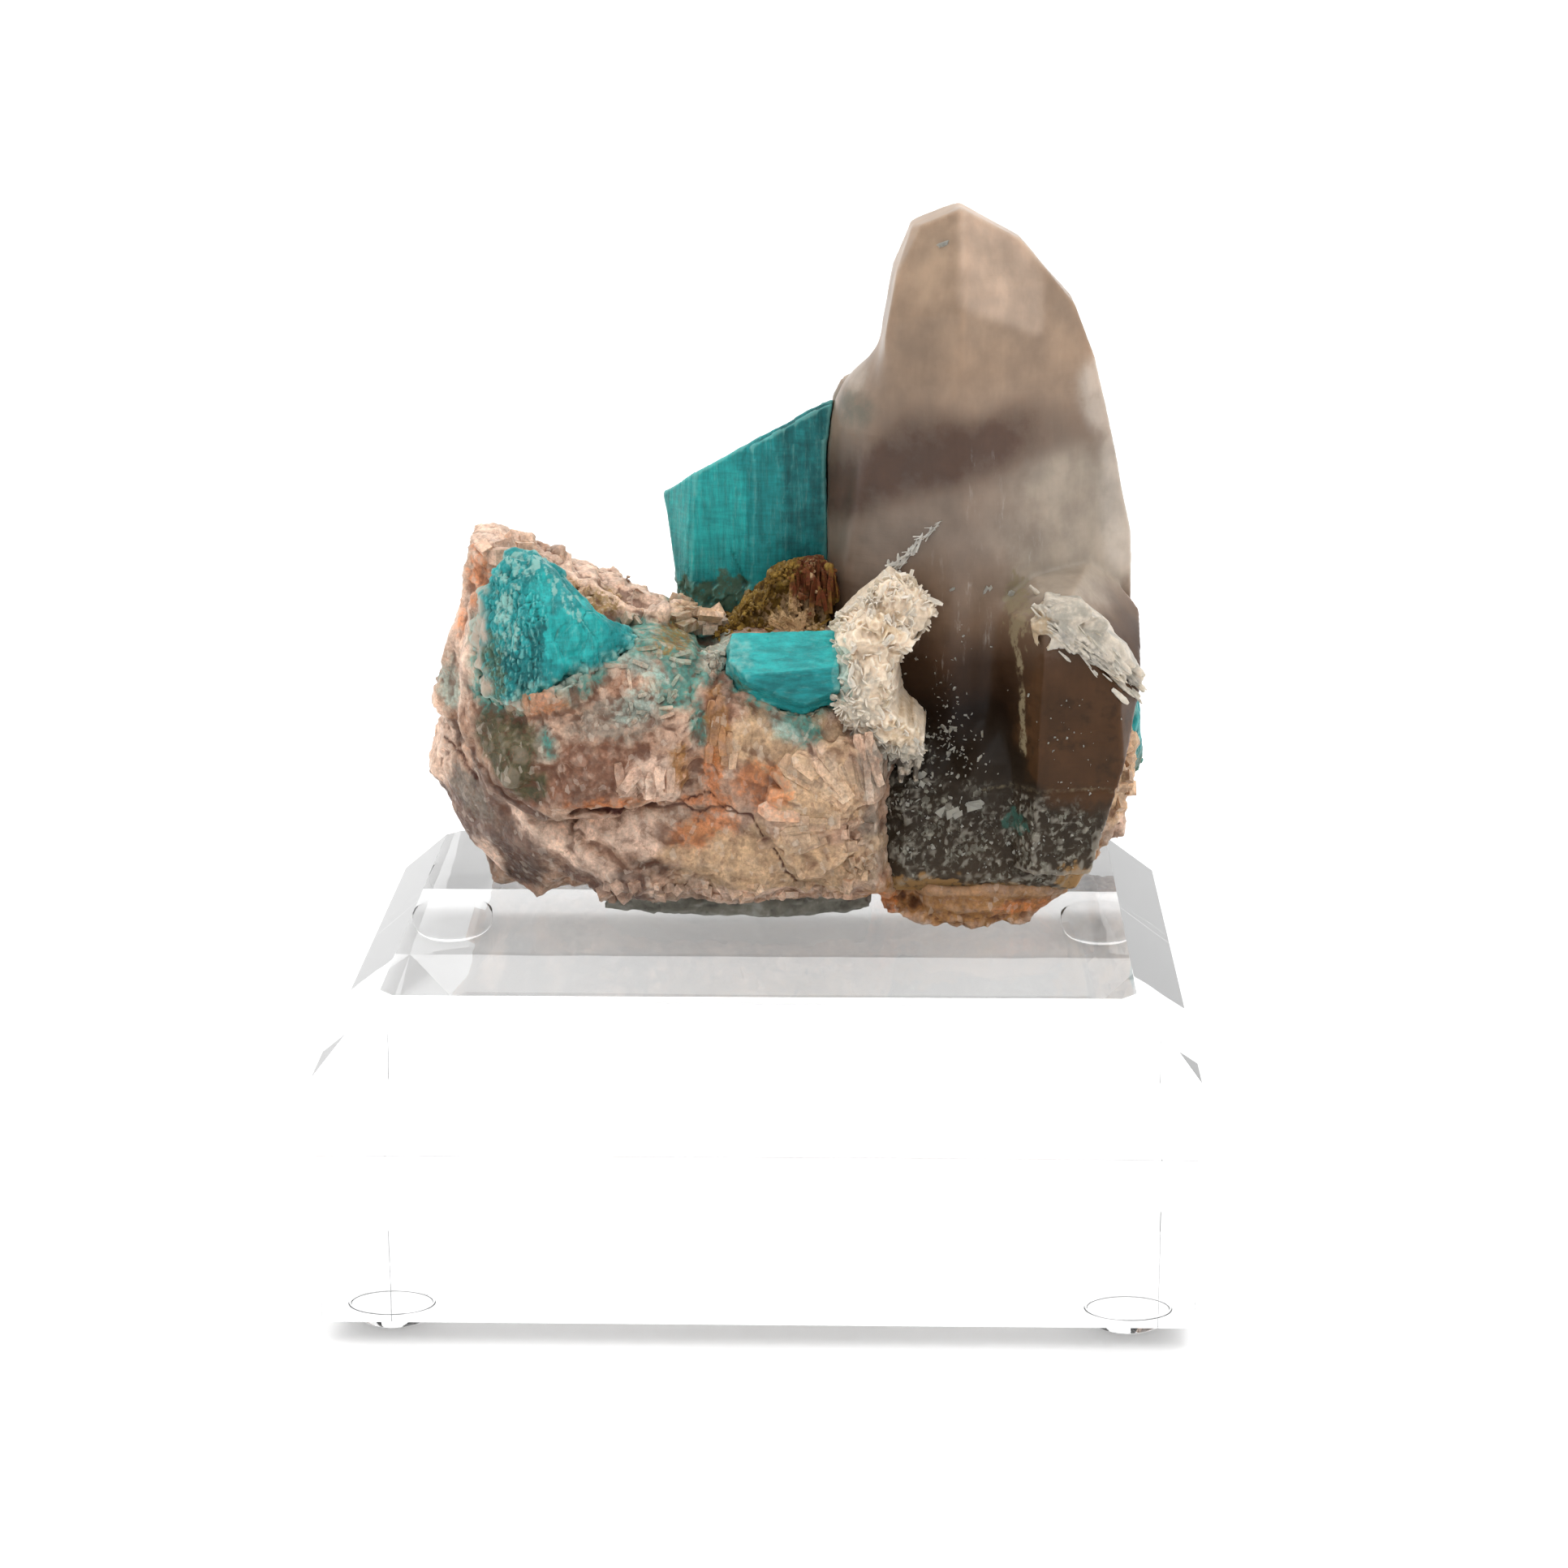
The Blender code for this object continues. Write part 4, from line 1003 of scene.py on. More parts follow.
def stained(surface):
    """Paints the matrix's coloured places on a surface, the painted shade along its cracks, and its
    domains.
    """
    p = surface.points
    right_end = ease(p[:, 0], 27.0, 29.0) * ease(p[:, 2], 35.0, 38.0)
    for k, (name, patches) in enumerate(STAINED.items()):
        mask = in_patches(p, patches, 0.4, 1.6, 30 + k, 9.0)
        if name in STREWN:
            mask = np.maximum(mask, scattered(p, 6.0 + k, STREWN[name], 60 + k))
        mask *= 1 - right_end
        if name == "beige":
            mask = np.maximum(mask, right_end)
        mask = surface.averaged(mask, 6)
        if name == "teal":
            near = nearness(p, nodes(*FRONT_CRYSTALS), 1.8)
            mask = np.maximum(mask, near * ease(fractal(p, 1.2, 3, 90), -0.5, 0.3))
        surface.paint(name, mask)
    # Painted shade, with some dark red staining, along the cracks
    crack = np.zeros(len(p))
    for k, (line, depth, width, dark) in enumerate(CRACKS):
        crack = np.maximum(crack, dark * near_line(p, line, width * 0.8, 20 + k, 0.5))
    surface.paint("crack", crack * ease(noise(p, 2.6, 29), -0.9, -0.4))
    border, offset, own = cells(p + 0.5 * drift(p, 1.2, 170), 2.3, 171)
    surface.paint("domain", 0.5 + 0.5 * own[:, 0] * ease(border, 0.0, 0.12))


def fan_space(points):
    """Coordinates drawn out along the rays from the fan's hub."""
    dx = points[:, 0] - FAN_HUB[0]
    dz = points[:, 2] - FAN_HUB[2]
    angle = np.arctan2(dz, dx) % (2 * math.pi)
    return np.stack([angle * 8.0, np.hypot(dx, dz) * 0.14, points[:, 1] * 0.25], axis=1)


def matrix_relief(p):
    """Heights of the matrix's broken surface."""
    calm = np.zeros(len(p))
    height = np.zeros(len(p))
    for k, (patch, turn, wide, long, tilt, step) in enumerate(GRAINED):
        on = in_patches(p, [patch], 0.15, 2.0, 140 + k, 9.0)
        height += on * facets(grainwise(p, turn, wide, long), 1.0, tilt, step, 150 + k)
        calm = np.maximum(calm, on)
    fan = in_patches(p, [FAN], 0.1, 2.0, 139)
    height += fan * facets(fan_space(p), 1.0, 0.14, 0.10, 4)
    calm = np.maximum(calm, fan)
    massive = 1 - 0.85 * calm
    height += facets(p, 5.5, 0.8, 0.15, 1) * (1 - 0.6 * calm)
    height += facets(p + noise(p, 1.5, 4)[:, None] * 0.25, 2.0, 0.45, 0.12, 2) * massive
    height += facets(p, 0.85, 0.16, 0.05, 3) * massive
    return height + (0.05 + 0.10 * massive) * fractal(p, 1.0, 3, 7)


def matrix():
    """The mass that everything grows on: broken, cracked, and swollen over its neighbours."""
    s = skin("cleavelandite_matrix_skin")
    s.relax(1)
    s.push(matrix_relief(s.points))
    s.write()
    p = s.points
    for k, (line, depth, width, dark) in enumerate(CRACKS):
        p[:, 1] += near_line(p, line, width, 20 + k, 0.5) * depth
    p[:, 1] -= 0.6 * near_line(p, PALE_RIDGE, 1.4, 26)
    for patch, swell in SWOLLEN:
        p += np.outer(swell * in_patches(p, [patch], 0.3, 1.4, 27), (0, -0.8, 0.8))
    for patch, depth in SUNKEN:
        p[:, 1] += depth * in_patches(p, [patch], 0.1, 1.4, 28, 2.0)
    s.write()
    neighbours = ("smoky_quartz", *FRONT_CRYSTALS, "amazonite_crystal_right", "mounting_putty")
    close_gaps(s, neighbours, 0.9, 0.45)
    keep_off_block(s)
    s.thin_out(MOST_TRIANGLES)
    stained(s)
    s.paint("hollow", s.hollows(6, 0.16))
    s.paint("tone", np.full(len(s.points), 0.5))
    return placed(s, matrix_finish("matrix"), "matrix", "cleavelandite_matrix")


# The matrix's ridge: its left end and its run to the right end as (x, z), and its depth
RIDGE_START = (-25.5, 65.6)
RIDGE_RUN = (18.0, -8.0)
RIDGE_Y = 3.2


class Strewing:
    """Blocks and blades strewn over an object."""

    def __init__(self, under, picks):
        self.picks = picks
        self.ground = Ground(under)
        self.shells = Shells()

    def block(self, at, low, high):
        half = [self.picks.uniform(low, high) for axis in range(3)]
        chip(self.shells, at, half, any_turn(self.picks), self.picks)

    def blocks_in_front(self, count, left, right, bottom, top, low, high):
        """Blocks on the front, between two sides and two heights."""
        for k in range(count):
            found = self.ground.from_front(self.picks.uniform(left, right), self.picks.uniform(bottom, top))
            if found:
                self.block(found[0], low, high)

    def askew(self, normal):
        """A direction near the normal."""
        return normal + Vector((self.picks.uniform(-0.4, 0.4), 0, self.picks.uniform(-0.4, 0.4)))

    def blade(self, x, z, turn, long, wide, thick=0.3, lift=0.1):
        """A blade that lies on the front at an angle, lifted off it a little."""
        found = self.ground.from_front(x, z)
        if not found:
            return
        turn = math.radians(turn)
        along = Vector((math.cos(turn), 0, math.sin(turn))) * long / 2
        at = found[0] - Vector((0, lift, 0))
        facing = self.askew(found[1])
        widths = (0.8, 1.0, self.picks.uniform(0.3, 0.9))
        lath(self.shells, at - along, at + along, wide, thick, facing, widths)


def top_grains(strewing):
    """Grains and blocks on the matrix's sloping top."""
    picks = strewing.picks
    for k in range(150):
        share = picks.random()
        x = RIDGE_START[0] + RIDGE_RUN[0] * share
        y = RIDGE_Y + picks.uniform(-4.6, 5.0)
        top = RIDGE_START[1] + RIDGE_RUN[1] * share - 0.16 * abs(y - RIDGE_Y)
        strewing.block((x, y, top + picks.uniform(-1.0, 0.25)), 0.18, 0.6)
    for k in range(16):
        at = (picks.uniform(-25.0, -21.8), picks.uniform(-1.5, 3.5), picks.uniform(63.4, 65.3))
        strewing.block(at, 0.5, 1.15)
    for k in range(20):
        at = (picks.uniform(-9.4, -4.2), picks.uniform(1.0, 6.0), picks.uniform(56.9, 58.7))
        half = [picks.uniform(0.7, 1.7), picks.uniform(0.4, 0.9), picks.uniform(0.3, 0.6)]
        turn = [picks.gauss(0, 0.25), picks.gauss(0, 0.25), picks.gauss(0, 0.4)]
        chip(strewing.shells, at, half, turn, picks, 0.35)
    for k in range(60):
        found = strewing.ground.from_front(picks.gauss(-4.3, 0.7), picks.gauss(56.6, 0.8))
        if found:
            strewing.block(found[0], 0.12, 0.38)


def front_blades(strewing):
    """Blades and needles that lie on the front of the matrix."""
    uniform = strewing.picks.uniform
    gauss = strewing.picks.gauss
    blade = strewing.blade
    for k in range(16):
        x = uniform(-13.8, -7.2)
        blade(x, uniform(51.2, 55.6), uniform(-30, 120), uniform(0.7, 1.9), 0.35)
    for k in range(12):
        x = uniform(-14.4, -5.2)
        blade(x, 56.9 + gauss(0, 0.6), gauss(-12, 18), uniform(0.8, 2.2), 0.4)
    for k in range(6):
        turn = 84 + gauss(0, 14)
        z = 45.8 + uniform(-0.7, 1.2)
        blade(-12.4 + 0.85 * k, z, turn, uniform(2.0, 3.6), uniform(0.8, 1.4), 0.6, 0.0)
    for k in range(8):
        z = 50.6 + uniform(-2.5, 2.5)
        blade(-4.6 + 0.3 * k, z, 86 + gauss(0, 7), uniform(1.5, 3.0), 0.8, 0.3, 0.05)
    blade(-16.8, 56.1, 48, 2.7, 1.25, 0.8, 0.35)
    for k in range(26):
        angle = uniform(98, 206)
        far = uniform(3.5, 9.0)
        x = FAN_HUB[0] + far * math.cos(math.radians(angle))
        z = FAN_HUB[2] + far * math.sin(math.radians(angle))
        blade(x, z, angle, uniform(2.0, 4.5), uniform(0.8, 2.0), 0.3, uniform(-0.18, -0.06))
    for k in range(14):
        turn = gauss(92, 8)
        x = uniform(8.6, 11.6)
        blade(x, uniform(45.5, 50.0), turn, uniform(2.0, 4.0), uniform(0.5, 1.0))


def back_growth(strewing):
    """Blocks and blades on the back of the matrix."""
    picks = strewing.picks
    for k in range(170):
        found = strewing.ground.from_back(picks.uniform(-29, 33), picks.uniform(33, 60))
        if found and found[0].y > 4:
            size = picks.choice((0.4, 0.6, 0.9, 1.5))
            strewing.block(found[0] - found[1] * size * 0.4, size * 0.6, size * 1.3)
    for k in range(90):
        found = strewing.ground.from_back(picks.uniform(-22, 31), picks.uniform(34, 54))
        if found and found[0].y > 6:
            along = Vector((picks.uniform(-1, 1), 0, picks.uniform(-1, 1))).normalized()
            along *= picks.uniform(0.8, 2.6)
            facing = strewing.askew(found[1])
            lath(strewing.shells, found[0] - along, found[0] + along, picks.uniform(0.6, 1.5), 0.5, facing)


def feldspar_crystals(matrix_object):
    """Crisp grains, blocks, needles and blades that stand on the matrix."""
    picks = random.Random(5)
    strewing = Strewing(matrix_object, picks)
    top_grains(strewing)
    front_blades(strewing)
    strewing.blocks_in_front(22, 7.4, 9.8, 36.5, 42.0, 0.25, 0.6)
    strewing.blocks_in_front(40, -16.0, 8.0, 34.0, 36.0, 0.2, 0.7)
    strewing.blocks_in_front(36, 28.0, 34.5, 36.0, 50.0, 0.3, 0.9)
    back_growth(strewing)
    s = crisp("feldspar_crystals", strewing.shells)
    stained(s)
    tones = np.array(strewing.shells.tones(picks))
    s.paint("tone", tones)
    s.paint("crack", 0.5 * (tones > 0.95) * (s.points[:, 2] > 55.0))
    placed(s, matrix_finish("feldspar_crystals", 0.3), "matrix", flat=True)


# The line where the back crystal's sound upper part ends
BREAK_LINE = [(-8.6, 60.9), (-4.0, 60.5), (-1.2, 59.6), (1.2, 58.8)]


# Masks and places on the amazonite, as paint_patches() and in_patches() take them
BACK_MASKS = [
    ("light", 0.8, 0.2, 2.4, 17, [(-5.6, 67.0, 4.4, 7.0, 0)]),
    ("pale", 0.2, 0.2, 2.0, 18, [(-8.6, 64.0, 1.6, 7.0, 0)]),
]


def amazonite_back():
    """The blocky crystal behind the quartz, smooth above and worn below."""
    s = skin("amazonite_back_skin")
    s.relax(2)
    Ground(*nodes("amazonite_crystal_back")).settle(s)
    s.relax(1)
    middle = in_patches(s.points, [(-0.6, 66.0, 3.6, 7.0, 0)], 0.0, 1.0, 10, BEHIND_ALL)
    s.points += (s.averaged(s.points, 60) - s.points) * middle[:, None]
    s.write()
    p = s.points
    steps = facets(p, (1.6, 1.6, 14.0), 0.05, 0.06, 11)
    plates = facets(p, (2.6, 2.6, 3.4), 0.12, 0.03, 12)
    wear_and_highlight = in_patches(p, [(-5.0, 57.0, 6.5, 3.6, 0)], 0.3, 1.4, 13, BEHIND_ALL)
    chipped = facets(p, (1.2, 1.2, 1.5), 0.3, 0.15, 14) * wear_and_highlight
    s.push(steps + plates * 0.6 + chipped + 0.03 * fractal(p, 0.8, 2, 15))
    s.push(-0.25 * near_line(p, BREAK_LINE, 0.35, 16) * (p[:, 1] < 12))
    s.write()
    s.points[:, 0] += 0.45 * nearness(s.points, nodes("smoky_quartz"), 0.9)
    s.write()
    p = s.points
    paint_patches(s, BACK_MASKS)
    s.paint("hollow", s.hollows(8, 0.1))
    s.paint("deep", ease(p[:, 0] + 3.0 * noise(p * [1, 1, 0.12], 1.6, 19), -4.0, 7.0))
    s.paint("drab", np.maximum(wear_and_highlight, ease(-p[:, 2], -57.5, -54.0)))
    placed(s, amazonite_finish("amazonite_back", (1, 1, 9)), "amazonite", "amazonite_crystal_back")


LEFT_MASKS = [
    ("light", 1.0, 0.25, 1.6, 45, [(-16.4, 59.6, 2.8, 2.8, -30), (-19.4, 62.6, 1.3, 2.4, 0)]),
    ("deep", 0.7, 0.6, 0.7, 47, [(-21.2, 56.8, 2.6, 2.4, 0), (-19.6, 59.6, 0.9, 2.6, 0)]),
]
FROSTED = [
    (-20.6, 65.4, 2.6, 1.0, 0),
    (-20.6, 53.6, 4.0, 0.9, 0),
    (-22.2, 61.0, 1.2, 3.4, 5),
    (-17.2, 62.6, 0.5, 2.8, 40),
]
RIND = [
    (-26.0, 60.4, 1.7, 4.4, 0),
    (-25.3, 55.0, 1.5, 2.2, 0),
    (-20.6, 52.9, 4.8, 1.1, 4),
    (-13.4, 55.4, 2.2, 0.7, 0),
]


def amazonite_left(matrix_object):
    """The etched crystal on the left, with a pinkish rind towards the matrix."""
    s = skin("amazonite_left_skin")
    s.relax(4)
    p = s.points
    etched = in_patches(p, [(-21.8, 59.4, 3.4, 6.6, 0)], 0.3, 1.5, 41, BEHIND_ALL)
    runs = fractal(p, (0.5, 1.2, 2.4), 3, 42)
    pits = np.minimum(cells(p, (0.5, 0.8, 0.9), 43)[0] - 0.25, 0.0)
    uneven = facets(p, (2.6, 2.6, 3.4), 0.6, 0.10, 40) + 0.25 * noise(p, 3.0, 39)
    rim = nearness(p, [matrix_object], 2.0)
    relief = uneven + etched * (0.28 * runs + 0.8 * pits) + 0.06 * fractal(p, 0.9, 3, 44)
    s.push(relief + 0.1 + 0.7 * rim * fractal(p, 1.6, 3, 38))
    s.write()
    close_gaps(s, ("cleavelandite_matrix",), 0.9, 0.4)
    p = s.points
    edge = nearness(p, [matrix_object], 1.3)
    s.paint("hollow", s.hollows(5, 0.12))
    paint_patches(s, LEFT_MASKS)
    frosted = in_patches(p, FROSTED, 0.6, 0.8, 46, BEHIND_ALL)
    frosted *= ease(fractal(p, (0.35, 0.8, 1.5), 3, 57), -0.35, 0.25)
    s.paint("pale", np.maximum(frosted, edge * ease(noise(p, 0.9, 49), -0.4, 0.4)))
    olive = 0.7 * in_patches(p, [(-23.8, 56.2, 1.6, 3.4, 0)], 0.5, 1.0, 48, BEHIND_ALL)
    s.paint("drab", np.maximum(olive, 0.35 * edge))
    s.paint("rind", s.averaged(in_patches(p, RIND, 0.6, 1.2, 58, BEHIND_ALL), 10))
    finish = amazonite_finish("amazonite_left", (1, 1.5, 4), 0.6)
    placed(s, finish, "amazonite", "amazonite_crystal_left")


FRONT_ENDS = [(-2.5, 56.4, 1.9, 2.2, 0), (6.8, 56.0, 0.6, 2.4, 0)]


def amazonite_front(matrix_object):
    """The wedge in front, its upper face painted lighter, as lit, and a patch of its other faces painted
    darker, as shade.
    """
    s = skin("amazonite_front_skin")
    s.relax(2)
    p = s.points
    steps = facets(p, (2.4, 1.2, 1.4), 0.10, 0.04, 51)
    s.push(steps + 0.03 * fractal(p, 0.5, 2, 52) + 0.1)
    s.write()
    close_gaps(s, ("cleavelandite_matrix", "smoky_quartz"), 0.8, 0.3)
    p = s.points
    # Painted light and shade: faces that look up are painted lighter, as lit, and lower down the others are
    # painted darker, as shade
    lit = ease(s.averaged(s.normals, 4)[:, 2], 0.45, 0.75)
    edge = nearness(p, [matrix_object], 0.8)
    s.paint("hollow", s.hollows(6, 0.1))
    s.paint("light", lit * 0.7)
    ends = 0.35 * in_patches(p, FRONT_ENDS, 0.4, 2.0, 53, BEHIND_ALL)
    s.paint("pale", np.maximum(ends, 0.6 * edge * ease(noise(p, 0.7, 56), -0.2, 0.5)))
    shaded = in_patches(p, [(3.4, 54.2, 4.2, 2.4, 0)], 0.3, 1.2, 54, BEHIND_ALL)
    s.paint("deep", 0.45 * (1 - lit) * shaded)
    paint_patches(s, [("drab", 0.6, 0.3, 0.8, 55, [(-2.2, 54.4, 1.6, 0.9, -20)])])
    placed(s, amazonite_finish("amazonite_front", (4, 4, 1)), "amazonite", "amazonite_crystal_front")


def amazonite_right():
    """The small crystal of which only an edge shows beside the quartz."""
    s = skin("amazonite_right_skin")
    s.relax(1)
    p = s.points
    s.push(facets(p, (1.4, 1.4, 3.0), 0.3, 0.10, 71) + 0.05 * fractal(p, 0.7, 3, 72))
    s.write()
    close_gaps(s, ("smoky_quartz", "cleavelandite_matrix"), 0.8, 0.4)
    p = s.points
    s.paint("hollow", s.hollows(6, 0.12))
    s.paint("light", ease(noise(p, 3.0, 73), 0.0, 0.5))
    s.paint("pale", ease(noise(p, 2.0, 74), 0.0, 0.5) * 0.8)
    s.paint("deep", ease(noise(p, 2.5, 75), 0.2, 0.6) * 0.5)
    s.paint("drab", ease(-p[:, 2], -43.0, -39.0))
    placed(s, amazonite_finish("amazonite_right", (1, 1, 5)), "amazonite", "amazonite_crystal_right")


# Zones of the quartz seen from the front
DUSK_BAND = [(3.0, 67.6), (8.0, 69.8), (13.0, 73.4), (18.0, 75.3), (24.0, 75.0), (30.0, 76.2)]
SIDE_EDGE = [(22.0, 61.6), (22.5, 58.4), (23.0, 55.6), (23.2, 52.6), (23.4, 48.0)]
SEAM = [(19.6, 44.3), (24.0, 44.9), (29.5, 45.2), (31.5, 45.0)]
GRITTY = [(13.6, 40.6, 6.2, 5.4, 0), (23.6, 39.2, 9.0, 5.6, 0), (13.0, 47.0, 2.4, 2.4, 0)]
WISPS = [(19.4, 71.4, 2.0, 3.8, 0), (22.5, 66.0, 4.5, 4.0, 0), (16.0, 60.0, 5.0, 5.0, 0)]
HAZE = [(30.4, 78.0, 2.2, 4.6, 10), (32.2, 68.0, 1.8, 7.0, 4), (8.0, 80.6, 1.6, 2.2, 0)]
AMBER = [(14.0, 34.8, 5.0, 1.5, 0), (22.0, 34.6, 5.0, 0.9, 0), (28.4, 36.0, 2.2, 2.4, 40)]


def quartz():
    """The tall crystal with its shoulder and its stubby neighbour, smooth above a gritty foot."""
    s = skin("smoky_quartz_skin")
    s.relax(4)
    Ground(*nodes("smoky_quartz")).settle(s)
    x, y, z = s.points.T
    face = ease(x, 4.5, 6.5) * ease(-x, -29.0, -26.0) * (y < 10)
    face *= ease(z, 45.0, 50.0) * ease(-z, -84.5, -81.5)
    face *= 1 - ease(x, 21.0, 22.6) * ease(-z, -66.0, -63.0)
    s.points += (s.averaged(s.points, 120) - s.points) * face[:, None]
    s.write()
    s.relax(1)
    p = s.points
    gritty = in_patches(p, GRITTY, 0.25, 2.0, 81)
    growth = noise(p, (9.0, 9.0, 0.55), 82) * 0.02 + noise(p, (5.0, 5.0, 4.0), 83) * 0.10
    rough = facets(p, 0.9, 0.20, 0.08, 84) + 0.12 * fractal(p, 0.7, 3, 85)
    s.push(growth + gritty * rough - 0.15 * near_line(p, SEAM, 0.4, 86))
    keep_off_block(s)
    s.paint("gritty", gritty)
    s.paint("hollow", s.hollows(6, 0.1))
    paint_quartz(s)
    return placed(s, quartz_finish(), "smoky_quartz", "smoky_quartz")


def paint_quartz(s):
    """Paints the zones, clouds and stains of the quartz, and its painted light: a lighter right side and
    top facet, and a pale highlight along an edge.
    """
    p = s.points
    x, y, z = p.T
    s.paint("zone", np.clip((z + 1.4 * noise(p, 6.0, 87) - 34.0) / 61.4, 0, 1))
    # Painted light: the right side is painted lighter, as lit
    lit = ease(x + 2.0 * noise(p, 5.0, 92), 15.0, 30.0) * ease(z, 57.0, 63.0) * ease(-z, -76.0, -70.0)
    s.paint("lit", lit)
    # Painted light: the top facet on the right is painted lighter, as lit
    above = z - np.interp(x, [17.2, 24.8, 28.3], [87.2, 83.8, 84.6])
    facet = ease(above, -0.3, 0.5) * ease(x, 16.9, 17.9) * (1 - ease(x, 24.2, 25.6)) * (y < 9)
    s.paint("facet", s.averaged(facet, 12))
    in_front = np.stack([x, np.zeros(len(p)), z + 2.2 * noise(p, 7.0, 96)], axis=1)
    band = near_line(in_front, DUSK_BAND, 5.0, 89, 0.8) * (1 - 0.6 * ease(x, 18.0, 29.0)) * (y < 14.0)
    s.paint("dusk", s.averaged(band, 50))
    green = in_patches(p, [(8.0, 77.0, 2.2, 1.8, 20)], 0.5, 2.0, 93, BEHIND_ALL)
    s.paint("green", 0.8 * s.averaged(green, 30))
    s.paint("haze", s.averaged(in_patches(p, HAZE, 0.35, 3.0, 88, BEHIND_ALL), 40))
    s.paint("wisps", in_patches(p, WISPS, 0.3, 3.0, 94))
    tea = in_patches(p, [(28.8, 51.0, 6.4, 8.6, 0)], 0.1, 3.0, 90, 5.0)
    s.paint("tea", s.averaged(tea, 6))
    s.paint("sea", in_patches(p, [(22.7, 41.6, 1.2, 1.0, 0)], 0.5, 0.8, 97))
    s.paint("amber", in_patches(p, AMBER, 0.5, 1.2, 91, 10.0))
    # Painted highlight: the side crystal's left edge and a patch at its top are painted pale, and the join
    # near the foot more faintly
    edge = near_line(p, SIDE_EDGE, 0.4, 95, 0.15) * ease(noise(p, 1.8, 99), -0.6, 0.1)
    lines = np.maximum(edge, 0.35 * near_line(p, SEAM, 0.3, 86, 0.1))
    s.paint("seam_and_highlight", np.maximum(lines, 0.7 * in_patches(p, [(22.8, 60.4, 1.2, 2.4, 0)], 0.6, 0.8, 98)))


def book(shells, root, out, size, picks):
    """A few thin blades side by side that fan out a little, as cleavelandite grows."""
    spread = any_way(picks).cross(out).normalized()
    count = picks.randint(3, 5)
    for k in range(count):
        lean = (k - (count - 1) / 2) * picks.uniform(0.12, 0.2)
        along = (out + spread * lean).normalized() * size * picks.uniform(0.75, 1.1)
        start = root + spread * lean * size * 0.8
        lath(shells, start, start + along, size * picks.uniform(0.5, 0.8), 0.16, spread, (0.8, 1.0, 0.6))


# Middles of the rosette's tufts, and how its right side draws in below the top
TUFTS = (
    (9.6, -5.2, 59.6),
    (12.6, -3.6, 61.0),
    (9.4, -6.2, 55.4),
    (8.8, -6.4, 52.2),
    (11.2, -5.0, 57.6),
    (11.6, -6.0, 50.0),
)
WAIST = ([46.0, 50.0, 52.5, 56.0, 58.5, 61.0], [16.0, 14.2, 11.2, 11.4, 13.8, 16.5])

# Masks of the rosette and the crust, as paint_patches() takes them
ROSETTE_MASKS = [
    ("grey", 0.6, 0.4, 1.4, 102, [(8.4, 53.4, 2.2, 3.4, 0), (12.0, 47.5, 4.0, 2.6, 0)]),
    ("buff", 0.6, 0.4, 1.2, 104, [(12.6, 50.4, 1.6, 2.0, 20), (11.0, 60.0, 1.6, 1.6, 0)]),
    ("dark", 0.9, 0.5, 1.2, 103, [(11.0, 44.6, 4.2, 3.0, 0)]),
    ("teal", 1.0, 0.4, 1.2, 105, [(7.3, 56.0, 0.9, 3.0, 0)]),
]
CRUST_MASKS = [
    ("buff", 0.8, 0.5, 1.0, 114, [(24.6, 59.6, 1.4, 1.8, 0)]),
    ("dark", 0.5, 0.6, 0.8, 113, [(29.0, 57.6, 2.6, 0.8, -35)]),
]
LOWEST_TUFT = 47.5  # no crisp blades grow lower than this on the rosette


def beside_tufts(at):
    """Whether a point lies right of the rosette's tufts."""
    return at.x > np.interp(at.z, *WAIST)


def rosette():
    """Tufts of blades over a lump, grown into one soft skin."""
    picks = random.Random(17)
    ground = Ground(*nodes("cleavelandite_rosette"))
    shells = Shells()
    hubs = [Vector(h) for h in TUFTS]
    for k in range(250):
        hub = picks.choice(hubs)
        out = Vector((picks.gauss(0, 1), -abs(picks.gauss(0, 1)) - 0.15, picks.gauss(0, 1))).normalized()
        found = ground.hit(hub + out * 12, -out)
        if not found or beside_tufts(found[0]):
            continue
        size = picks.uniform(0.9, 2.0)
        book(shells, found[0] - out * size * 0.72, out, size, picks)
    for k in range(30):
        x = picks.uniform(8.2, 14.2)
        top = 51.0 - 0.5 * abs(x - 11)
        root = Vector((x, -6.4 + 0.32 * (x - 9), top + picks.uniform(-1.5, 0.5)))
        tip = root + Vector((picks.uniform(-0.2, 1.0), picks.uniform(0.1, 0.7), -picks.uniform(2.0, 5.5)))
        lath(shells, root, tip, picks.uniform(0.4, 1.0), 0.35, (picks.uniform(-0.8, 0.8), -1, 0))
    s = skin("cleavelandite_rosette_skin", shells)
    p = s.points
    beyond = p[:, 0] - np.interp(p[:, 2], *WAIST)
    p[:, 1] += 9.0 * ease(beyond + 0.35 * fractal(p, 0.8, 2, 100), 0.0, 1.6)
    s.push(0.05 * fractal(p, 0.5, 3, 101))
    s.write()
    s.thin_out(MOST_TRIANGLES)
    s.paint("hollow", s.hollows(6, 0.14))
    paint_patches(s, ROSETTE_MASKS)
    finish = cleavelandite_finish("cleavelandite_rosette", (0.66, 0.54, 0.41))
    return placed(s, finish, "cleavelandite", "cleavelandite_rosette")


# Rounded crystals of the crust: middle seen from the front, half width and half height
CUSHIONS = [(27.2, 61.2, 2.0, 1.2), (25.0, 60.0, 1.1, 0.9), (29.6, 60.0, 1.1, 0.8)]


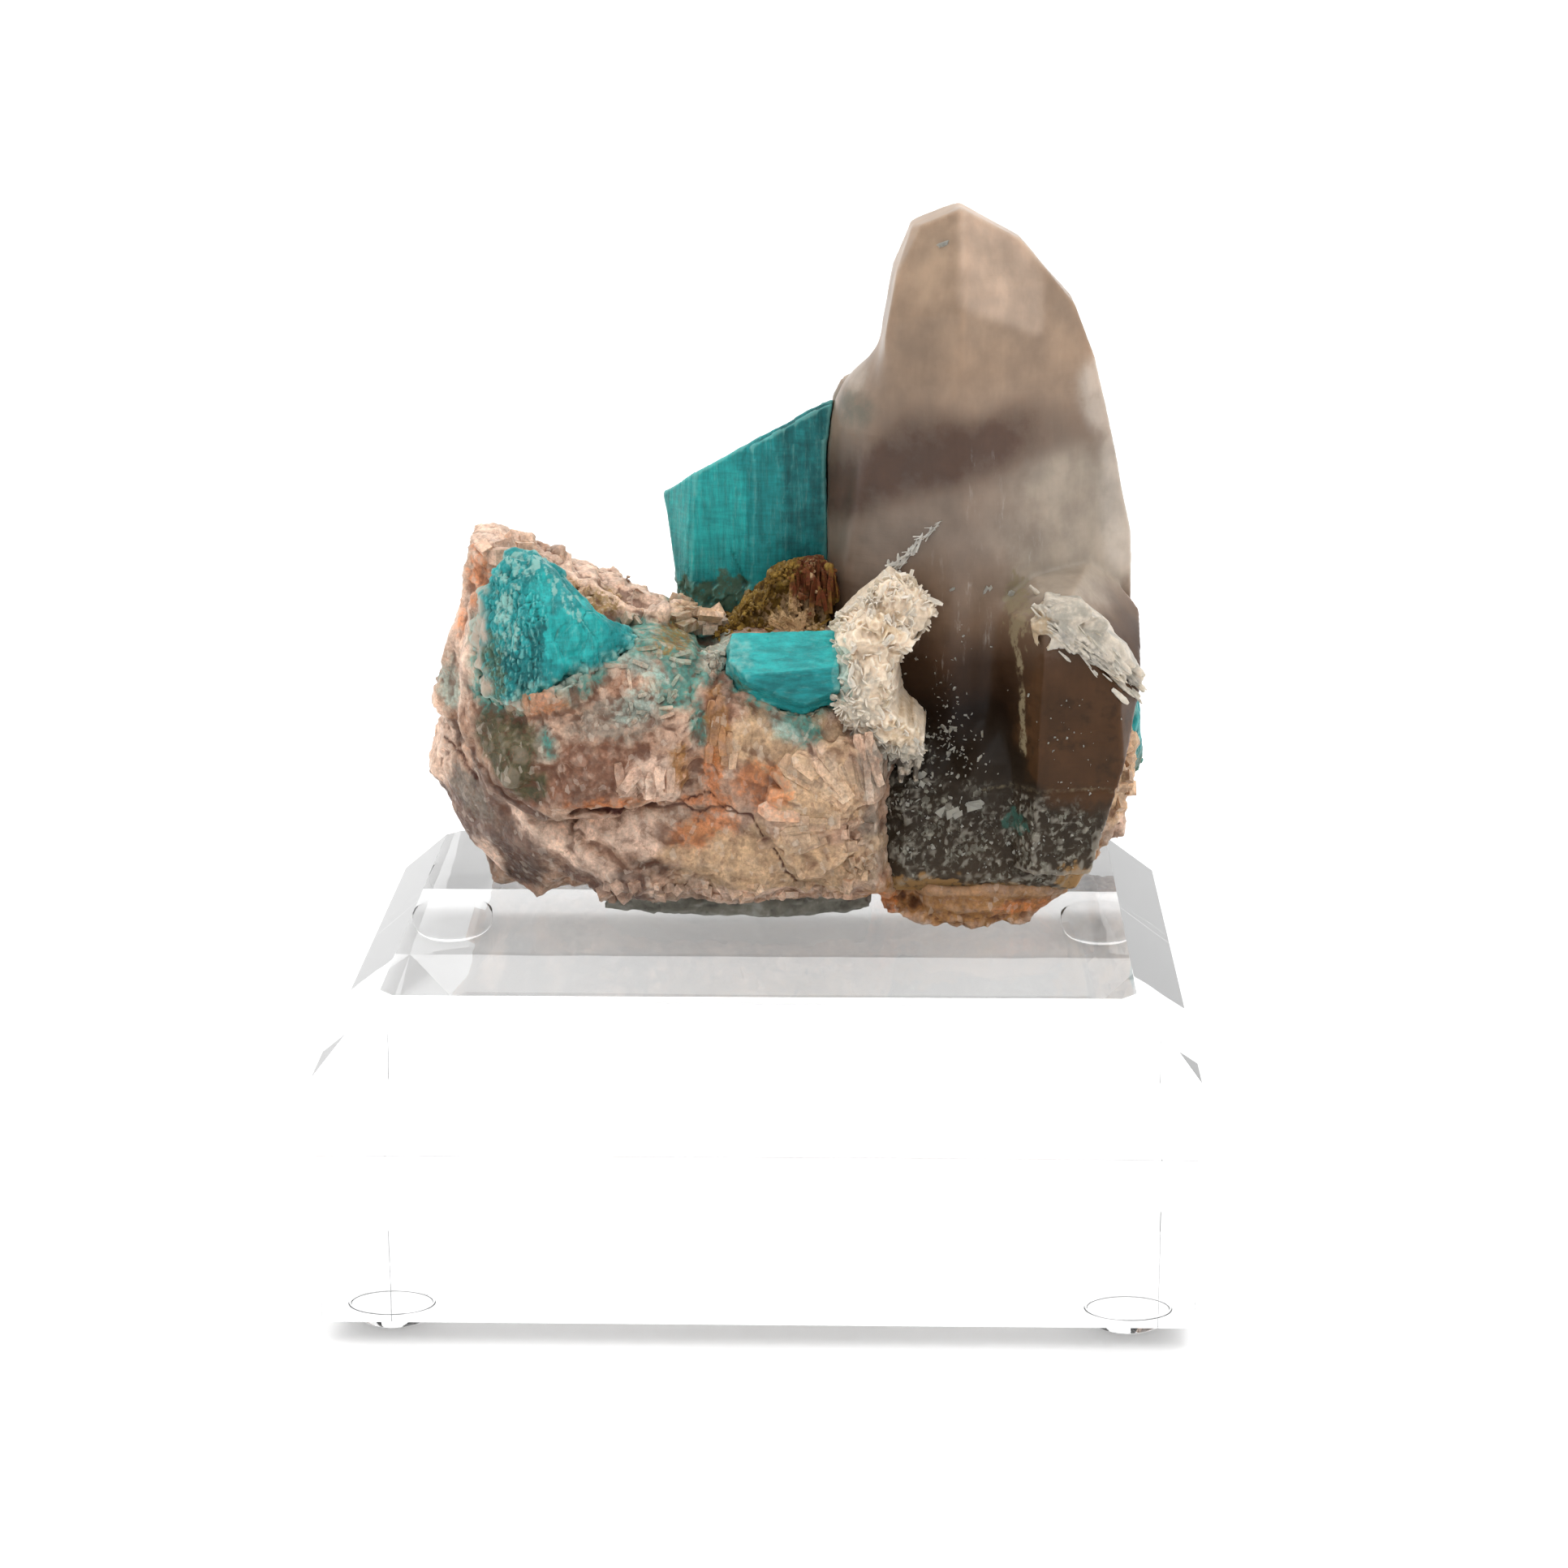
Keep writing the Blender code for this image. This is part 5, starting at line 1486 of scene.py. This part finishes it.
def crust():
    """White rounded crystals and streaks on the shoulder of the side crystal."""
    picks = random.Random(23)
    ground = Ground(*nodes("cleavelandite_crust", "smoky_quartz"))
    shells = Shells()
    for k in range(60):
        share = picks.random()
        x = 24.4 + 9.0 * share
        z = 60.4 - 6.4 * share**1.3 + picks.gauss(0, 0.8)
        found = ground.from_front(x, z)
        if not found:
            continue
        at, normal = found
        along = Vector((1.0, 0.1, -0.95)).normalized() * picks.uniform(0.5, 1.6)
        shift = Vector((picks.uniform(-0.3, 0.3), 0, picks.uniform(-0.3, 0.3)))
        width = picks.uniform(0.3, 0.8)
        lath(shells, at - along + shift, at + along, width, 0.3, normal + Vector((0.2, -0.4, 0)))
    for x, z, wide, high in CUSHIONS:
        found = ground.from_front(x, z)
        centre = found[0] if found else Vector((x, -8.0, z))
        left = centre - Vector((wide, 0, 0.2))
        right = centre + Vector((wide, 0, 0.1))
        petal(shells, left, right, high * 2, 1.4, (0, -1, 0.3))
    s = skin("cleavelandite_crust_skin", shells)
    s.relax(1)
    s.push(0.04 * fractal(s.points, 0.6, 3, 111))
    s.write()
    s.paint("hollow", s.hollows(6, 0.12))
    s.paint("grey", ease(noise(s.points, 2.0, 112), -0.3, 0.3) * 0.8)
    paint_patches(s, CRUST_MASKS)
    finish = cleavelandite_finish("cleavelandite_crust", (0.58, 0.51, 0.42), 0.2)
    return placed(s, finish, "cleavelandite", "cleavelandite_crust")


def albite_blades(tufts, shoulder, quartz_object):
    """Crisp thin blades that bristle from the rosette and run down over the crust."""
    picks = random.Random(29)
    ground = Ground(tufts)
    shells = Shells()
    hubs = [Vector(h) for h in TUFTS]
    for k in range(420):
        hub = picks.choice(hubs)
        out = Vector((picks.gauss(0, 1), -abs(picks.gauss(0, 0.8)), picks.gauss(0, 1))).normalized()
        found = ground.hit(hub + out * 12, -out)
        if not found or beside_tufts(found[0]) or found[0].z < LOWEST_TUFT:
            continue
        at = found[0]
        along = (out + any_way(picks, 0.35)).normalized() * picks.uniform(0.3, 0.75)
        side = any_way(picks)
        lath(shells, at - along * 1.6, at + along, picks.uniform(0.3, 0.8), 0.1, side, (0.9, 1.0, 0.5))
    ground = Ground(shoulder, quartz_object)
    for k in range(70):
        share = picks.random()
        found = ground.from_front(24.6 + 9.4 * share, 60.6 - 7.2 * share**1.2 + picks.gauss(0, 0.9))
        if not found:
            continue
        at, normal = found
        along = Vector((1.0, 0.1, -0.6 - 0.8 * picks.random())).normalized() * picks.uniform(0.3, 1.3)
        lath(shells, at - along, at + along, picks.uniform(0.12, 0.34), 0.12, normal, (0.4, 1.0, 0.3))
    s = crisp("cleavelandite_blades", shells)
    p = s.points
    low = in_patches(p, [(10.0, 48.0, 5.0, 3.6, 0)], 0.3, 1.4, 118, BEHIND_ALL)
    s.paint("grey", np.maximum(low * 0.7, 0.5 * ease(p[:, 0], 20.0, 24.0)))
    s.paint("buff", 0.5 * ease(noise(p, 2.0, 119), 0.1, 0.5))
    finish = cleavelandite_finish("cleavelandite_blades", (0.70, 0.60, 0.48), 0.1)
    placed(s, finish, "cleavelandite", flat=True)


# How high the rusty cluster reaches: x, and z there
CREST = ([-4.4, -2.6, -1.8, -0.2, 0.4, 2.4, 4.2, 6.0], [56.8, 57.6, 59.6, 60.0, 62.0, 62.8, 63.3, 63.4])

# Masks of the cluster's skin and of its crisp blades, as paint_patches() takes them
CLUSTER_MASKS = [
    ("red", 1.0, 0.4, 1.0, 122, [(5.0, 61.0, 2.2, 3.0, 0), (-3.0, 55.0, 3.0, 0.8, 0)]),
    ("pale", 1.0, 0.7, 0.8, 123, [(2.2, 57.6, 2.6, 2.0, 30), (4.9, 59.4, 0.5, 2.8, 10)]),
]
BLADE_MASKS = [
    ("red", 1.0, 0.4, 0.8, 125, [(4.6, 61.2, 2.4, 3.0, 0)]),
    ("pale", 1.0, 0.3, 0.8, 126, [(2.6, 58.0, 2.6, 1.7, 0)]),
]


def crest(x):
    return float(np.interp(x, *CREST))


def rusty_blades():
    """Crisp upright red blades, pale ones that fan out below them, and ochre crumbs round about."""
    picks = random.Random(47)
    shells = Shells()
    for k in range(60):
        x = picks.uniform(2.4, 6.3)
        top = Vector((x, picks.uniform(1.0, 3.4), crest(x) - picks.uniform(-0.1, 2.4)))
        foot = top + Vector((picks.gauss(0, 0.2), picks.uniform(0.0, 0.5), -picks.uniform(1.4, 3.6)))
        width = picks.uniform(0.22, 0.55)
        lath(shells, foot, top, width, 0.14, (picks.gauss(0, 0.5), -1, 0), (1.0, 1.0, 0.3))
    for k in range(54):
        turn = math.radians(picks.uniform(10, 170))
        root = Vector((2.6 + picks.gauss(0, 0.8), picks.uniform(0.9, 1.5), 56.3 + picks.uniform(0.0, 1.0)))
        out = Vector((math.cos(turn) * 1.2, picks.uniform(-0.3, 0.3), math.sin(turn)))
        tip = root + out * picks.uniform(1.0, 2.6)
        width = picks.uniform(0.25, 0.6)
        facing = (picks.gauss(0, 0.5), -1, picks.gauss(0, 0.5))
        lath(shells, root, tip, width, 0.12, facing, (0.6, 1.0, 0.3))
    for k in range(150):
        x = picks.uniform(-4.4, 4.0)
        low = picks.random() < 0.5
        z = 57.0 + picks.gauss(0, 0.5) if low else crest(x) + picks.gauss(-0.3, 0.35)
        half = [picks.uniform(0.08, 0.3) for axis in range(3)]
        chip(shells, (x, picks.uniform(1.2, 3.6), z), half, any_turn(picks), picks, 0.5)
    s = crisp("limonite_blades", shells)
    paint_patches(s, BLADE_MASKS)
    placed(s, limonite_finish("limonite_blades"), "limonite", flat=True)


def cluster():
    """Rusty upright blades in the recess before the back amazonite."""
    picks = random.Random(31)
    shells = Shells()
    for k in range(150):
        x = picks.uniform(-4.6, 6.6)
        y = picks.uniform(2.4, 6.6)
        lean = Vector((picks.gauss(0, 0.25), -0.2 - 0.3 * picks.random(), 1)).normalized()
        reach = picks.uniform(1.2, 3.2)
        top = Vector((x, y, crest(x) - picks.uniform(0.0, 2.6)))
        facing = Vector((picks.gauss(0, 1), picks.gauss(0, 1), 0)).normalized()
        lath(shells, top - lean * reach, top, picks.uniform(0.4, 1.0), picks.uniform(0.18, 0.32), facing)
    for k in range(240):
        x = picks.uniform(-5.4, 6.4)
        y = picks.uniform(1.8, 5.4)
        z = picks.uniform(54.2, crest(x) - 0.3)
        half = [picks.uniform(0.1, 0.32) for axis in range(3)]
        chip(shells, (x, y - 0.2 * (crest(x) - z), z), half, any_turn(picks), picks)
    s = skin("rust_stained_cluster_skin", shells)
    p = s.points
    highest = np.interp(p[:, 0], *CREST)
    p[:, 2] = np.minimum(p[:, 2], highest - 0.4 + 1.1 * fractal(p, 1.1, 3, 120))
    s.write()
    s.push(0.10 * fractal(s.points, 0.5, 3, 121))
    s.write()
    s.thin_out(MOST_TRIANGLES)
    s.paint("hollow", s.hollows(6, 0.16))
    paint_patches(s, CLUSTER_MASKS)
    placed(s, limonite_finish("limonite"), "limonite", "rust_stained_cluster")


def putty():
    """The kneaded lump that holds the stone on the block."""
    s = skin("mounting_putty_skin")
    s.relax(2)
    p = s.points
    s.push(facets(p, (2.4, 1.6, 0.9), 0.4, 0.12, 131) + 0.14 * fractal(p, 1.6, 3, 132))
    keep_off_block(s)
    s.paint("hollow", s.hollows(6, 0.14))
    placed(s, putty_finish(), "putty", "mounting_putty")


# Places strewn with albite grains: middle and spread seen from the front, count and largest half size
SPRINKLED = [
    (17.0, 47.6, 2.6, 2.2, 110, 0.32),
    (16.4, 51.5, 1.6, 2.4, 30, 0.22),
    (13.6, 43.0, 3.0, 4.5, 100, 0.24),
    (22.0, 40.0, 5.0, 3.0, 80, 0.20),
    (27.0, 49.0, 3.6, 4.5, 40, 0.14),
    (16.5, 55.0, 4.0, 3.5, 22, 0.2),
    (25.2, 89.0, 0.8, 1.4, 16, 0.07),
]

# Larger scraps: place seen from the front, half size and turn
SCRAPS = [
    (18.6, 42.6, 1.5, 10),
    (16.6, 42.2, 1.2, 25),
    (14.2, 44.6, 0.9, 60),
    (17.0, 61.9, 0.45, 30),
    (20.2, 61.7, 0.6, 55),
    (22.4, 60.9, 0.55, 70),
    (15.9, 92.3, 0.8, 20),
]


def grains(quartz_object):
    """Tiny albite crystals on the lower front of the quartz, and a few larger scraps."""
    picks = random.Random(41)
    ground = Ground(quartz_object)
    shells = Shells()
    for x, z, wide, high, count, largest in SPRINKLED:
        for k in range(count):
            found = ground.from_front(picks.gauss(x, wide / 1.6), picks.gauss(z, high / 1.6))
            if not found or found[0].y > 0 or found[1].y > -0.3:
                continue
            size = largest * (0.3 + 0.7 * picks.random() ** 2)
            half = [size * picks.uniform(0.4, 1.6), size * 0.4, size * picks.uniform(0.4, 1.6)]
            chip(shells, found[0], half, any_turn(picks), picks, 0.6)
    for x, z, size, turn in SCRAPS:
        for k in range(3):
            found = ground.from_front(x + picks.gauss(0, size * 0.3), z + picks.gauss(0, size * 0.15))
            if not found:
                continue
            half = [size * picks.uniform(0.5, 0.9), 0.12, size * picks.uniform(0.2, 0.45)]
            turns = (picks.gauss(0, 0.15), -math.radians(turn), picks.gauss(0, 0.15))
            chip(shells, found[0], half, turns, picks, 0.6)
    s = crisp("albite_grains", shells)
    s.paint("grey", 0.5 + 0.5 * ease(noise(s.points, 1.5, 141), -0.3, 0.3))
    finish = cleavelandite_finish("albite_grains", (0.34, 0.32, 0.26), 0.3)
    placed(s, finish, "cleavelandite", flat=True)


# The wisp of thin blades that trails up the quartz from the rosette
WISP = ((11.6, 63.0), (12.8, 64.4), (14.0, 66.0), (15.2, 67.0), (16.0, 68.0))


def wisp(quartz_object):
    """Thin blades along the wisp, narrower and closer to its line towards the tip."""
    picks = random.Random(43)
    ground = Ground(quartz_object)
    shells = Shells()
    for k in range(60):
        share = picks.random() ** 1.4
        place = share * (len(WISP) - 1.001)
        low = int(place)
        x0, z0 = WISP[low]
        x1, z1 = WISP[low + 1]
        mixed = place - low
        x = x0 + (x1 - x0) * mixed + picks.gauss(0, 0.28) * (1 - share)
        z = z0 + (z1 - z0) * mixed + picks.gauss(0, 0.28) * (1 - share)
        found = ground.from_front(x, z)
        if not found:
            continue
        at, normal = found
        turn = math.radians(picks.gauss(46, 22))
        along = Vector((math.cos(turn), 0, math.sin(turn))) * picks.uniform(0.3, 1.0)
        at = at - normal * 0.02
        width = picks.uniform(0.12, 0.34) * (1.2 - share)
        lath(shells, at - along, at + along, width, 0.16, normal, (0.5, 1.0, 0.3))
    s = crisp("cleavelandite_wisp", shells)
    s.paint("grey", np.full(len(s.points), 0.4))
    finish = cleavelandite_finish("cleavelandite_wisp", (0.72, 0.66, 0.57), 0.2)
    placed(s, finish, "cleavelandite", flat=True)


# The block's sloping shoulder, inwards and down from its top, and the cut along its edges
SHOULDER = (5.2, 5.7)
EDGE_CUT = 0.03


def block_ring(half_x, half_y, z, cut):
    """A rectangle with its corners cut, anticlockwise."""
    near_x = half_x - cut
    near_y = half_y - cut
    corners = [(half_x, -near_y), (half_x, near_y), (near_x, half_y), (-near_x, half_y)]
    return [(x, y, z) for x, y in corners + [(-x, -y) for x, y in corners]]


def clear_block():
    """The polished block: straight sides, then a shoulder that slopes in to the top."""
    low, high = (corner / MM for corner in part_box("clear_block"))
    x = high.x
    y = high.y
    inwards, down = SHOULDER
    c = EDGE_CUT
    levels = [(c, low.z), (0, low.z + c), (0, high.z - down), (inwards, high.z - c), (inwards + c, high.z)]
    shells = Shells()
    shells.rings([block_ring(x - into, y - into, z, c + into / 4) for into, z in levels])
    finish = clear_finish("clear_block", (0.99, 0.995, 0.995), ACRYLIC_IOR)
    placed(crisp("clear_block_polished", shells), finish, "clear_block", "clear_block", flat=True)


FRONT_TOP = 2.21  # the raised ring by which the front feet cling to the block
BACK_TOP = 2.15

# A foot's profile from its top down: share of its radius, and height above the floor
FOOT_PROFILE = [
    (0.05, BACK_TOP),
    (0.88, BACK_TOP),
    (0.9, FRONT_TOP),
    (0.97, FRONT_TOP),
    (1.0, 2.1),
    (1.0, 1.3),
    (0.97, 0.8),
    (0.9, 0.4),
    (0.8, 0.14),
    (0.7, 0.06),
    (0.3, 0.05),
]
FOOT_SIDES = 64
FRONT_FOOT_IOR = 1.2
BACK_FOOT_IOR = 1.03  # hardly seen through the block


def foot(shells, name, highest):
    """Adds the foot that stands in for a node, cut off at a height."""
    low, high = (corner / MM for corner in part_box(name))
    x, y = ((low + high) / 2).xy
    radius = (high.x - low.x) / 2
    turns = [2 * math.pi * k / FOOT_SIDES for k in range(FOOT_SIDES)]
    rings = []
    for share, level in FOOT_PROFILE:
        reach = radius * share
        level = min(level, highest)
        rings.append([(x + reach * math.cos(a), y + reach * math.sin(a), level) for a in turns])
    shells.rings(rings)


def feet():
    """Soft clear bumpers with rounded lower edges. The front ones cling to the block."""
    for side, highest, bend in (("front", FRONT_TOP, FRONT_FOOT_IOR), ("back", BACK_TOP, BACK_FOOT_IOR)):
        names = [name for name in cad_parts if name.startswith("foot_" + side)]
        shells = Shells()
        for name in names:
            foot(shells, name, highest)
        finish = clear_finish("feet_" + side, (0.99, 0.99, 0.99), bend)
        placed(crisp("bumper_feet_" + side, shells), finish, "feet", *names)


# Stage


def camera():
    data = bpy.data.cameras.new("camera")
    data.sensor_width = SENSOR
    data.lens = SENSOR * FOCAL_SHARE
    data.clip_start = 0.01
    made = bpy.data.objects.new("camera", data)
    bpy.context.scene.collection.objects.link(made)
    level = math.cos(PITCH)
    forward = Vector((math.sin(YAW) * level, math.cos(YAW) * level, -math.sin(PITCH)))
    turn = forward.to_track_quat("-Z", "Y").to_matrix() @ Matrix.Rotation(ROLL, 3, "Z")
    made.matrix_world = Matrix.Translation(Vector(CAMERA_AT) * MM) @ turn.to_4x4()
    bpy.context.scene.camera = made


def sun(name, towards, strength, angle):
    """A broad, even light that comes from a direction."""
    data = bpy.data.lights.new(name, "SUN")
    data.energy = strength
    data.angle = math.radians(angle)
    made = bpy.data.objects.new(name, data)
    made.rotation_euler = Vector(towards).to_track_quat("Z", "Y").to_euler()
    bpy.context.scene.collection.objects.link(made)


def floor():
    mesh = bpy.data.meshes.new("floor")
    corners = [(x * FLOOR_REACH, y * FLOOR_REACH, 0) for x, y in ((-1, -1), (1, -1), (1, 1), (-1, 1))]
    mesh.from_pydata(corners, [], [(0, 1, 2, 3)])
    made = bpy.data.objects.new("floor", mesh)
    bpy.context.scene.collection.objects.link(made)
    f = Finish("floor")
    f.set(Base_Color=(0.95, 0.95, 0.95), Roughness=0.8)
    mesh.materials.append(f.material)


def sky(tree):
    """A white studio that is open, and so darker, on the viewer's side."""
    direction = tree.nodes.new("ShaderNodeSeparateXYZ")
    tree.links.new(tree.nodes.new("ShaderNodeTexCoord").outputs["Generated"], direction.inputs[0])
    levels = []
    parts = (
        ("Y", -0.8, 0.1, SKY_FRONT, SKY_BEHIND),
        ("Z", 0.3, 0.75, SKY_FRONT, SKY_ABOVE),
        ("Z", 0.16, 0.3, SKY_LOW, SKY_FRONT),
    )
    for axis, low, high, first, last in parts:
        made = tree.nodes.new("ShaderNodeMapRange")
        made.interpolation_type = "SMOOTHSTEP"
        tree.links.new(direction.outputs[axis], made.inputs["Value"])
        for name, value in (("From Min", low), ("From Max", high), ("To Min", first), ("To Max", last)):
            made.inputs[name].default_value = value
        levels.append(made.outputs["Result"])
    strongest = levels[0]
    for level in levels[1:]:
        stronger = tree.nodes.new("ShaderNodeMath")
        stronger.operation = "MAXIMUM"
        tree.links.new(strongest, stronger.inputs[0])
        tree.links.new(level, stronger.inputs[1])
        strongest = stronger.outputs[0]
    background = tree.nodes["Background"]
    background.inputs["Color"].default_value = (1.0, 1.0, 1.0, 1.0)
    tree.links.new(strongest, background.inputs["Strength"])


def stage():
    camera()
    floor()
    scene = bpy.context.scene
    scene.view_settings.view_transform = "Standard"
    world = bpy.data.worlds.new("studio")
    world.use_nodes = True
    scene.world = world
    sky(world.node_tree)
    sun("overhead", SUN_TOWARDS, SUN_STRENGTH, SUN_WIDTH)


stone = matrix()
feldspar_crystals(stone)
amazonite_back()
amazonite_left(stone)
amazonite_front(stone)
amazonite_right()
big_crystal = quartz()
grains(big_crystal)
wisp(big_crystal)
tufts = rosette()
albite_blades(tufts, crust(), big_crystal)
cluster()
rusty_blades()
putty()
clear_block()
feet()
stage()
